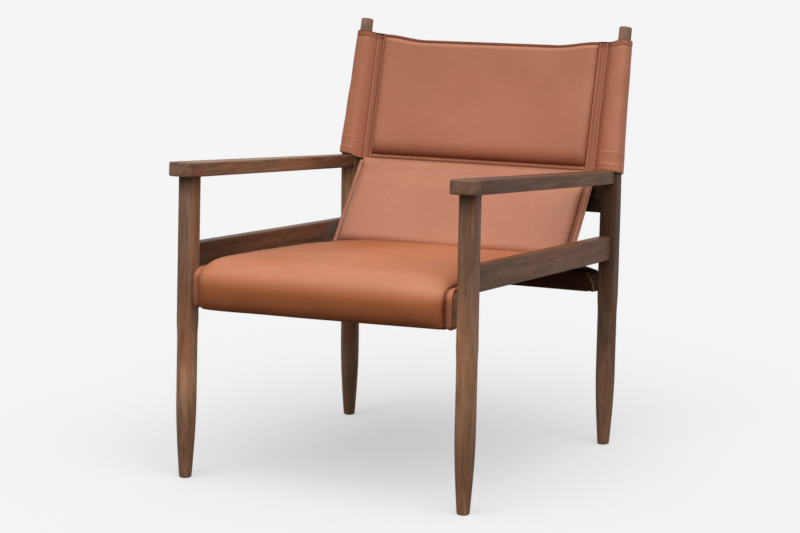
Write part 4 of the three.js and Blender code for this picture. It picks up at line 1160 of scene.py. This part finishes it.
def addBackPad():
    facts = backPadFacts
    rows, columns, half = facts["rows"], facts["columns"], backFacts["seam"] + facts["overlap"]
    t = spread(rows)
    x = np.tile(spread(columns) * half, (rows, 1))
    gap = half - np.abs(x)
    low, high = backFacts["bottom"] + facts["bottom"], backTop(x) - facts["top"]
    z = low + (high - low) * (t[:, None] + 1) / 2
    full = roll(gap, facts["sideRoll"]) * roll(z - low, facts["footRoll"]) * roll(high - z, facts["topRoll"])
    shoulder = mixed(facts["shoulder"], 1.0, roll(gap, facts["shoulderRoll"]))
    full *= shoulder * mixed(1.0, facts["upper"], smoothStep(z, *facts["upperZ"]))
    flat = np.dstack([x, x * 0, z]).reshape(-1, 3)
    soft = waves(flat, facts["softLength"], facts["seed"]).reshape(rows, columns) * facts["soft"]
    pucker = np.exp(-gap / facts["puckerReach"]) * puckers(z, *facts["puckerWave"]) * facts["pucker"]
    front = -(facts["front"] + full * (facts["crown"] + soft) + pucker * fullness(t, 10.0)[:, None])
    rear = facts["rear"] + full * facts["swell"]
    points, faces = closedSheet(np.dstack([x, front, z]), np.dstack([x, rear, z]))
    # painted shade at the side seams and on the roll at the foot, on both faces
    dark = np.exp(-gap / facts["seamReach"]) * facts["seam"]
    dark += facts["foot"] * np.exp(-(z - low) / facts["footReach"])
    shade = np.concatenate([np.clip(dark, 0, facts["darkest"]).ravel()] * 2)
    pad = makePiece("backPad", raked(points), faces, leathers["back"], dict(
        slot="leather", body="back_sling", shade=shade, sharp=60,
        nodes=["upper_back_leather", "upper_back_foam", "upper_back_backing"]))


addBackPad()

# Bound edges of the upper back: a folded strip, as (depth, height) points
bindingFacts = dict(top=-7.2, bottom=7.0, steps=120, profile=np.array([
    (-2.6, 0.0), (-2.9, 1.6), (-2.7, 3.2), (-2.9, 4.8), (-2.7, 6.0), (-2.0, 6.9), (-0.8, 7.3),
    (0.8, 7.3), (2.0, 6.9), (2.7, 6.0), (2.9, 4.8), (2.7, 3.2), (2.9, 1.6), (2.6, 0.0)]))


def bindingStrip(name, base, up, material, spec):  # rows along x, columns round the folded strip
    depth, height = bindingFacts["profile"].T
    rings = []
    for x in np.linspace(-backFacts["seam"], backFacts["seam"], bindingFacts["steps"]):
        rings.append(np.column_stack([np.full(len(depth), x), depth, base(x) + up * height]))
    faces = cappedFaces(len(rings), len(depth))
    points = np.concatenate(rings)
    spec.update(shade=np.zeros(len(points)), body="back_sling")
    makePiece(name, raked(points), faces, material, spec)


bindingStrip("topBinding", lambda x: float(backTop(x)) + bindingFacts["top"], 1, leathers["edge"],
             dict(slot="edge_leather", nodes=["upper_back_top_binding"]))
bindingStrip("bottomBinding", lambda x: backFacts["bottom"] + bindingFacts["bottom"], -1, leathers["back"],
             dict(slot="leather", nodes=["upper_back_bottom_binding"]))

# Sleeves: a tube round each post, wider below, and a flat strip to the seam with two sewn ridges
stripForm = [(0.0, 0.0), (0.8, 0.8), (1.8, 2.0), (2.9, 2.5), (4.0, 2.0), (5.0, 0.8), (6.0, 0.15), (9.0, 0.0),
             (14.0, 0.0), (15.8, 0.25), (16.9, 1.1), (18.0, 1.7), (19.0, 1.4), (19.8, 0.5)]
sleeveFacts = dict(
    half=(25.2, 18.5), deep=(22.6, 15.5), wall=2.0, strip=2.3, slit=0.6, line=19.0, roundness=2.5,
    outer=(0.07, 0.96, 18), outerRound=34, bore=(0.2, 0.95, 14), boreRound=28,  # shares and counts of points
    creases=(14, 36), ledge=1.25, ledgeRun=7, stripDrop=4.5, wave=0.6, waveLength=60, seed=17,
    pinch=0.8, pinchBelow=12, pinchRun=1.6, lowEase=(0.9, 1.2), topEase=(0.7, 0.9), tubeFrom=(26, 10),
    sewn=((0, 0.75), (5.7, 0.4), (20.4, 0.55)), sewnRun=0.9,  # shaded seams, as (spot across, shade)
    hollow=0.24, hollowRun=((5, 7), (14, 16)), turned=0.24, turnedRun=(12.4, 11.6),
    rim=0.5, rimRun=(2.6, 1.4), pressed=0.15, inside=0.7,
    outward=dict(right=[3.4, 1.6, -0.2, -1.2], left=[-3.0, -3.5, -3.6, -2.8]),  # by height
    dip=dict(right=[-3.4, -3.4, -1.6, -1.2, -2.5], left=[-4.2, -4.0, -2.6, 1.2, 4.5]),  # lower edge, across
    valley=dict(right=0.28, left=0.08), shade=dict(right=0.0, left=0.13))
sleeveLow, sleeveHigh = backFacts["bottom"] - 0.1, backFacts["sleeveTop"]


def tubeHalf(half, deep, count):  # half of the tube, from the front round the outside to the rear
    angles = np.linspace(1.5 * pi, 2.5 * pi, count)
    power = sleeveFacts["roundness"]
    reach = (np.abs(np.cos(angles)) ** power + np.abs(np.sin(angles)) ** power) ** (-1 / power)
    across = stance["legX"] + half * reach * np.cos(angles)
    return np.stack([across, deep * reach * np.sin(angles)], 1).tolist()


def sleeveOutline(share):  # outer section: seam, flat strip, tube round the post, and back along the rear
    half, deep = mixed(*sleeveFacts["half"], share), mixed(*sleeveFacts["deep"], share)
    strip, seam, post = sleeveFacts["strip"], backFacts["seam"] + 0.2, stance["legX"]
    front = [(seam + across, -strip - rise) for across, rise in stripForm]
    for u in np.linspace(*sleeveFacts["outer"]):
        front.append((mixed(seam + sleeveFacts["line"], post, u), -mixed(strip, deep, math.sin(pi / 2 * u))))
    tube = tubeHalf(half, deep, sleeveFacts["outerRound"])
    return np.array(front + tube + [(x, -y) for x, y in front[::-1]])


def boreOutline(share):  # follows the outer section inside its wall
    wall = sleeveFacts["wall"]
    half, deep = mixed(*sleeveFacts["half"], share) - wall, mixed(*sleeveFacts["deep"], share) - wall
    post, line = stance["legX"], backFacts["seam"] + sleeveFacts["line"] + 0.2
    front = []
    for u in np.linspace(*sleeveFacts["bore"]):
        front.append((mixed(line, post, u), -mixed(sleeveFacts["slit"], deep, math.sin(pi / 2 * u))))
    tube = tubeHalf(half, deep, sleeveFacts["boreRound"])
    return np.array(front + tube + [(x, -y) for x, y in front[::-1]])


def stripDrop(x, z):  # the strip's top edge lies lower than the tube's
    inside = 1 - smoothStep(x, backFacts["seam"] + 10, stance["legX"] - 8)
    return sleeveFacts["stripDrop"] * inside * smoothStep(z, sleeveHigh - 60, sleeveHigh)


def sleeveLevels():  # heights of the rings, closer at the ends and at the pressed lines
    levels = [sleeveLow + np.array([0, 0.8, 1.8, 3.0, 6.0]), np.arange(sleeveLow + 54, sleeveHigh - 16, 3.0),
              sleeveHigh + np.array([-14.0, -12.6, -12.0, -11.4, -10.0, -6.0, -3.0, -1.6, -0.6, 0.0])]
    levels += [sleeveLow + spot + np.arange(-7, 14.1, 1.0) for spot in sleeveFacts["creases"]]
    return np.sort(np.concatenate(levels))


def sleeveRing(z):  # outer ring at one height, and its shade
    facts, low, top, post = sleeveFacts, sleeveLow, sleeveHigh, stance["legX"]
    flat = sleeveOutline((z - low) / (top - low))
    away = flat - (post, 0)
    outward = away / np.linalg.norm(away, axis=1)[:, None]
    ledge = 0
    for spot in (low + crease for crease in facts["creases"]):  # each a small ledge, proud below
        below = float(1 - smoothStep(z, spot - 1.0, spot + 1.0))
        ledge += facts["ledge"] * below * math.exp(min(0, z - spot) / facts["ledgeRun"])
    pinch = facts["pinch"] * math.exp(-((z - top + facts["pinchBelow"]) / facts["pinchRun"]) ** 2) - ledge
    edge = 0
    for spot, (ease, run) in ((low, facts["lowEase"]), (top, facts["topEase"])):
        edge += ease * math.exp(-((z - spot) / run) ** 2)
    onTube = smoothStep(flat[:, 0], *(post - inside for inside in facts["tubeFrom"]))
    facing = mixed(1, np.clip(-outward[:, 1], 0.15, 1), float(z < top - 20))
    flat = flat - outward * ((pinch * facing + edge) * onTube)[:, None]
    ring = np.column_stack([flat, z - stripDrop(flat[:, 0], z)])
    ripple = waves(ring, facts["waveLength"], facts["seed"]) * facts["wave"]
    ring[:, 1] += ripple * onTube * smoothStep(z, low, low + 30)
    u = flat[:, 0] - backFacts["seam"]
    begin, end = facts["hollowRun"]
    # painted shade in the seam grooves, in the hollow between the ridges, and below in the pressed crease
    dark = sum(shade * np.exp(-((u - spot) / facts["sewnRun"]) ** 2) for spot, shade in facts["sewn"])
    dark += facts["hollow"] * smoothStep(u, *begin) * (1 - smoothStep(u, *end))  # between the ridges
    for key in ("turned", "rim"):
        dark += facts[key] * float(smoothStep(z, *(top - below for below in facts[f"{key}Run"])))
    return ring, np.clip(dark + facts["pressed"] * max(0, pinch) * onTube, 0, 1)


def annulus(points, ring, sides, hole, holes, flip):  # faces between an outline and the hole inside it
    a = [ring + i for i in range(sides)]
    b = [hole + i for i in range(holes)]
    k = min(range(holes), key=lambda j: np.linalg.norm(points[b[j]] - points[a[0]]))
    b = b[k:] + b[:k]
    faces, i, j = [], 0, 0
    while i < sides or j < holes:
        pa, pb = points[a[i % sides]], points[b[j % holes]]
        nextA, nextB = points[a[(i + 1) % sides]], points[b[(j + 1) % holes]]
        stepA = np.linalg.norm(nextA - pb) if i < sides else math.inf
        stepB = np.linalg.norm(nextB - pa) if j < holes else math.inf
        if stepA <= stepB:
            face = (a[i % sides], a[(i + 1) % sides], b[j % holes])
            i += 1
        else:
            face = (a[i % sides], b[(j + 1) % holes], b[j % holes])
            j += 1
        faces.append(face[::-1] if flip else face)
    return faces


def fitSleeve(points, side, word):  # each side's own outline, and the shade in the valley beside its strip
    low, top, post, seam = sleeveLow, sleeveHigh, stance["legX"], backFacts["seam"]
    shaped = points.copy()
    x, z = shaped[:, 0], shaped[:, 2]  # both are views, so the lines below also see the moves above them
    dip = np.interp(x, [seam, seam + 23, seam + 32, seam + 41, post + 22], sleeveFacts["dip"][word])
    z += dip * (1 - smoothStep(z, low, low + 60))
    valley = smoothStep(x - seam, 20, 22) * (1 - smoothStep(x - seam, 26, 34)) * (shaped[:, 1] < 0)
    if side > 0:  # its top is flatter
        flatter = smoothStep(x, seam + 10, post - 8) - smoothStep(x, seam + 28, post + 8)
        z -= sleeveFacts["stripDrop"] * flatter * smoothStep(z, top - 60, top)
    outward = np.interp(z, [low, low + 60, low + 130, top], sleeveFacts["outward"][word])
    x += outward * smoothStep(x, seam + 14, post + 6)
    x *= side
    # painted shade in the valley beside the strip, and over the whole left sleeve, which faces away from the
    # light
    return shaped, valley * sleeveFacts["valley"][word] + sleeveFacts["shade"][word]


def addSleeves():
    levels, low, high = sleeveLevels(), sleeveLow, sleeveHigh
    outer, shades = zip(*(sleeveRing(z) for z in levels))
    inner = []
    for z in levels:
        hole = boreOutline((z - low) / (high - low))
        inner.append(np.column_stack([hole, z - stripDrop(hole[:, 0], z)]))
    sides, holes, last = len(outer[0]), len(inner[0]), len(levels) - 1
    points, start = np.concatenate([*outer, *inner]), len(levels) * sides
    faces = ringFaces(len(levels), sides)
    faces += [f[::-1] for f in ringFaces(len(levels), holes, start)]
    for ring, hole, flip in ((0, start, True), (last * sides, start + last * holes, False)):
        faces += annulus(points, ring, sides, hole, holes, flip)
    # painted shade inside the bore
    shade = np.concatenate([*shades, np.full(holes * len(levels), sleeveFacts["inside"])])
    for side, word in bothSides:
        shaped, valley = fitSleeve(points, side, word)
        turned = [f if side > 0 else f[::-1] for f in faces]
        sleeve = makePiece(f"backSleeve.{word}", raked(shaped), turned, leathers["sleeve"], dict(
            slot="leather", body="back_sling", nodes=[f"back_sleeve_{word}"], sharp=60,
            shade=np.clip(shade + valley, 0, 1)))


addSleeves()
print("upper back made")


# Stitches: short lengths of thread along sewn lines
stitchFacts = dict(
    pitch=0.0056, radius=0.00042, stretch=4.6,  # in metres, and length to thickness
    seatStop=190, lowerStop=500, strip=((7.4, -2.5), (15.0, -2.6)),  # in millimetres from here on
    binding=dict(half=226, depth=3.0, below=4.6, points=160))


def stitchGroup():
    tree = bpy.data.node_groups.new("stitches", "GeometryNodeTree")
    tree.interface.new_socket("Geometry", in_out="INPUT", socket_type="NodeSocketGeometry")
    kinds, keys = dict(Pitch="Float", Radius="Float", Stretch="Vector", Material="Material"), {}
    for name, kind in kinds.items():
        socket = tree.interface.new_socket(name, in_out="INPUT", socket_type=f"NodeSocket{kind}")
        keys[name] = socket.identifier
    tree.interface.new_socket("Geometry", in_out="OUTPUT", socket_type="NodeSocketGeometry")
    begin, end = tree.nodes.new("NodeGroupInput"), tree.nodes.new("NodeGroupOutput")
    toCurve = tree.nodes.new("GeometryNodeMeshToCurve")
    spaced = addNode(tree, "GeometryNodeResampleCurve", mode="LENGTH")
    points = addNode(tree, "GeometryNodeCurveToPoints", mode="EVALUATED")
    bead = addNode(tree, "GeometryNodeMeshUVSphere", Segments=8, Rings=6)
    shape = tree.nodes.new("GeometryNodeTransform")
    turn = addNode(tree, "FunctionNodeAlignRotationToVector", axis="Z")
    place = tree.nodes.new("GeometryNodeInstanceOnPoints")
    real = tree.nodes.new("GeometryNodeRealizeInstances")
    smooth = tree.nodes.new("GeometryNodeSetShadeSmooth")
    paint = tree.nodes.new("GeometryNodeSetMaterial")
    for source, output, target, entry in (
            (begin, "Geometry", toCurve, "Mesh"), (toCurve, "Curve", spaced, "Curve"),
            (begin, "Pitch", spaced, "Length"), (spaced, "Curve", points, "Curve"),
            (points, "Tangent", turn, "Vector"), (points, "Points", place, "Points"),
            (begin, "Radius", bead, "Radius"), (begin, "Stretch", shape, "Scale"),
            (bead, "Mesh", shape, "Geometry"), (shape, "Geometry", place, "Instance"),
            (turn, "Rotation", place, "Rotation"), (place, "Instances", real, "Geometry"),
            (real, "Geometry", smooth, "Geometry"), (smooth, "Geometry", paint, "Geometry"),
            (begin, "Material", paint, "Material"), (paint, "Geometry", end, "Geometry")):
        tree.links.new(source.outputs[output], target.inputs[entry])
    return tree, keys


def addStitches(name, rows, body):  # rows: polylines in millimetres
    group, keys = stitchGroup()
    points = np.concatenate(rows)
    points[:, 1] += shiftY
    edges, start = [], 0
    for row in rows:
        edges += [(start + i, start + i + 1) for i in range(len(row) - 1)]
        start += len(row)
    mesh = bpy.data.meshes.new(name + "Lines")
    mesh.from_pydata((points * mm).tolist(), edges, [])
    lines = linked(name + "Lines", mesh)
    modifier = lines.modifiers.new("stitches", "NODES")
    modifier.node_group = group
    settings = dict(Pitch=stitchFacts["pitch"], Radius=stitchFacts["radius"],
                    Stretch=(1.0, 1.0, stitchFacts["stretch"]), Material=thread)
    for key, value in settings.items():
        modifier[keys[key]] = value
    made = bpy.data.meshes.new_from_object(lines.evaluated_get(bpy.context.evaluated_depsgraph_get()))
    bpy.data.objects.remove(lines)
    obj = linked(name, made)
    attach(obj, body)


def hemRow(line, half, side, edge, stop, falls):  # on the sewn line of a hem, dropping as the hem does
    across = side * (half - edge["width"] + edge["sewn"])
    proud = np.interp(edge["sewn"], *edge["form"].T) * falls.get("low", 1.0) + 0.1
    lift = proud - hemFall(line, edge, edge["sewn"], falls)
    row = np.column_stack([across, line + normalsOf(line) * lift])
    row[:, 2] -= falls.get("sag", np.zeros(len(line)))
    return row[:stop]


def frameRows():
    seatStop = np.argmax(seatY > stitchFacts["seatStop"])
    lowerStop = np.argmax(lowerZ > stitchFacts["lowerStop"])
    rows = []
    for side, word in bothSides:
        rows.append(hemRow(seatPath, seatHalf(side), side, seatEdge, seatStop, seatFalls[word]))
        rows.append(hemRow(lowerPath, lowerHalf[word], side, lowerEdge[word], lowerStop, {}))
    return rows


def slingRows():  # two rows up each strip and one along the top binding, in front and behind
    seam, high = backFacts["seam"], backFacts["sleeveTop"]
    heights = np.arange(backFacts["bottom"] + 3, high - 6, 2.0)
    along = heights - sleeveFacts["stripDrop"] * smoothStep(heights, high - 60, high)
    rows = []
    for side, _ in bothSides:
        for offset, depth in stitchFacts["strip"]:
            for face in (1, -1):
                place = np.broadcast_to((side * (seam + offset), depth * face), (len(along), 2))
                rows.append(raked(np.column_stack([place, along])))
    edge = stitchFacts["binding"]
    across = np.linspace(-edge["half"], edge["half"], edge["points"])
    for depth in (-edge["depth"], edge["depth"]):
        level = np.full(edge["points"], depth)
        rows.append(raked(np.column_stack([across, level, backTop(across) - edge["below"]])))
    return rows


addStitches("frameStitches", frameRows(), "frame")
addStitches("slingStitches", slingRows(), "back_sling")
print("stitches made")


# Studio: pale floor and an even soft light, stronger from above, in front and a little from the right
studioFacts = dict(size=60.0, depth=-0.0002, floor=grey(0.14), floorSeen=grey(0.92), floorRough=0.9, glow=0.5,
                   pale=grey(0.93), dome=((0.0, grey(0.26)), (1.0, grey(0.52))), sun=2.0, sunWidth=70,
                   sunWay=(-0.28, 0.58, -1.0))


def seenRays(tree):  # 1 where the camera, a reflection or glass sees the surface
    path = tree.nodes.new("ShaderNodeLightPath")
    seen = mathNode(tree, "MAXIMUM", path.outputs["Is Camera Ray"], path.outputs["Is Glossy Ray"])
    return mathNode(tree, "MAXIMUM", seen, path.outputs["Is Transmission Ray"])


def addFloor(facts):
    size, depth = facts["size"], facts["depth"]
    mesh = bpy.data.meshes.new("floor")
    corners = [(-size, -size, depth), (size, -size, depth), (size, size, depth), (-size, size, depth)]
    mesh.from_pydata(corners, [], [(0, 1, 2, 3)])
    material, tree, shader = newMaterial("pale_floor")
    seen = seenRays(tree)
    tint = mixColor(tree, "MIX", seen, (*facts["floor"], 1), (*facts["floorSeen"], 1))
    tree.links.new(tint, shader.inputs["Base Color"])
    shader.inputs["Roughness"].default_value = facts["floorRough"]
    shader.inputs["Specular IOR Level"].default_value = 0.0
    glow = addNode(tree, "ShaderNodeEmission", Color=(*facts["pale"], 1))
    blend = tree.nodes.new("ShaderNodeMixShader")
    share = mathNode(tree, "MULTIPLY", seen, facts["glow"])
    for place, source in enumerate((share, shader.outputs[0], glow.outputs[0])):
        tree.links.new(source, blend.inputs[place])
    tree.links.new(blend.outputs[0], tree.nodes["Material Output"].inputs["Surface"])
    mesh.materials.append(material)
    linked("floor", mesh)


def addLight(facts):
    world = bpy.data.worlds.new("studio")
    scene.world = world
    world.use_nodes = True
    sky = world.node_tree
    way = sky.nodes.new("ShaderNodeTexCoord")
    height = sky.nodes.new("ShaderNodeSeparateXYZ")
    sky.links.new(way.outputs["Generated"], height.inputs[0])
    dome = rampNode(sky, height.outputs["Z"], facts["dome"])
    tint = mixColor(sky, "MIX", seenRays(sky), dome, (*facts["pale"], 1))
    sky.links.new(tint, sky.nodes["Background"].inputs["Color"])
    data = bpy.data.lights.new("overhead", "SUN")
    data.angle = math.radians(facts["sunWidth"])
    data.energy = facts["sun"]
    lamp = linked("overhead", data)
    lamp.rotation_euler = Vector(facts["sunWay"]).to_track_quat("-Z", "Y").to_euler()


addFloor(studioFacts)
addLight(studioFacts)
print("studio made")
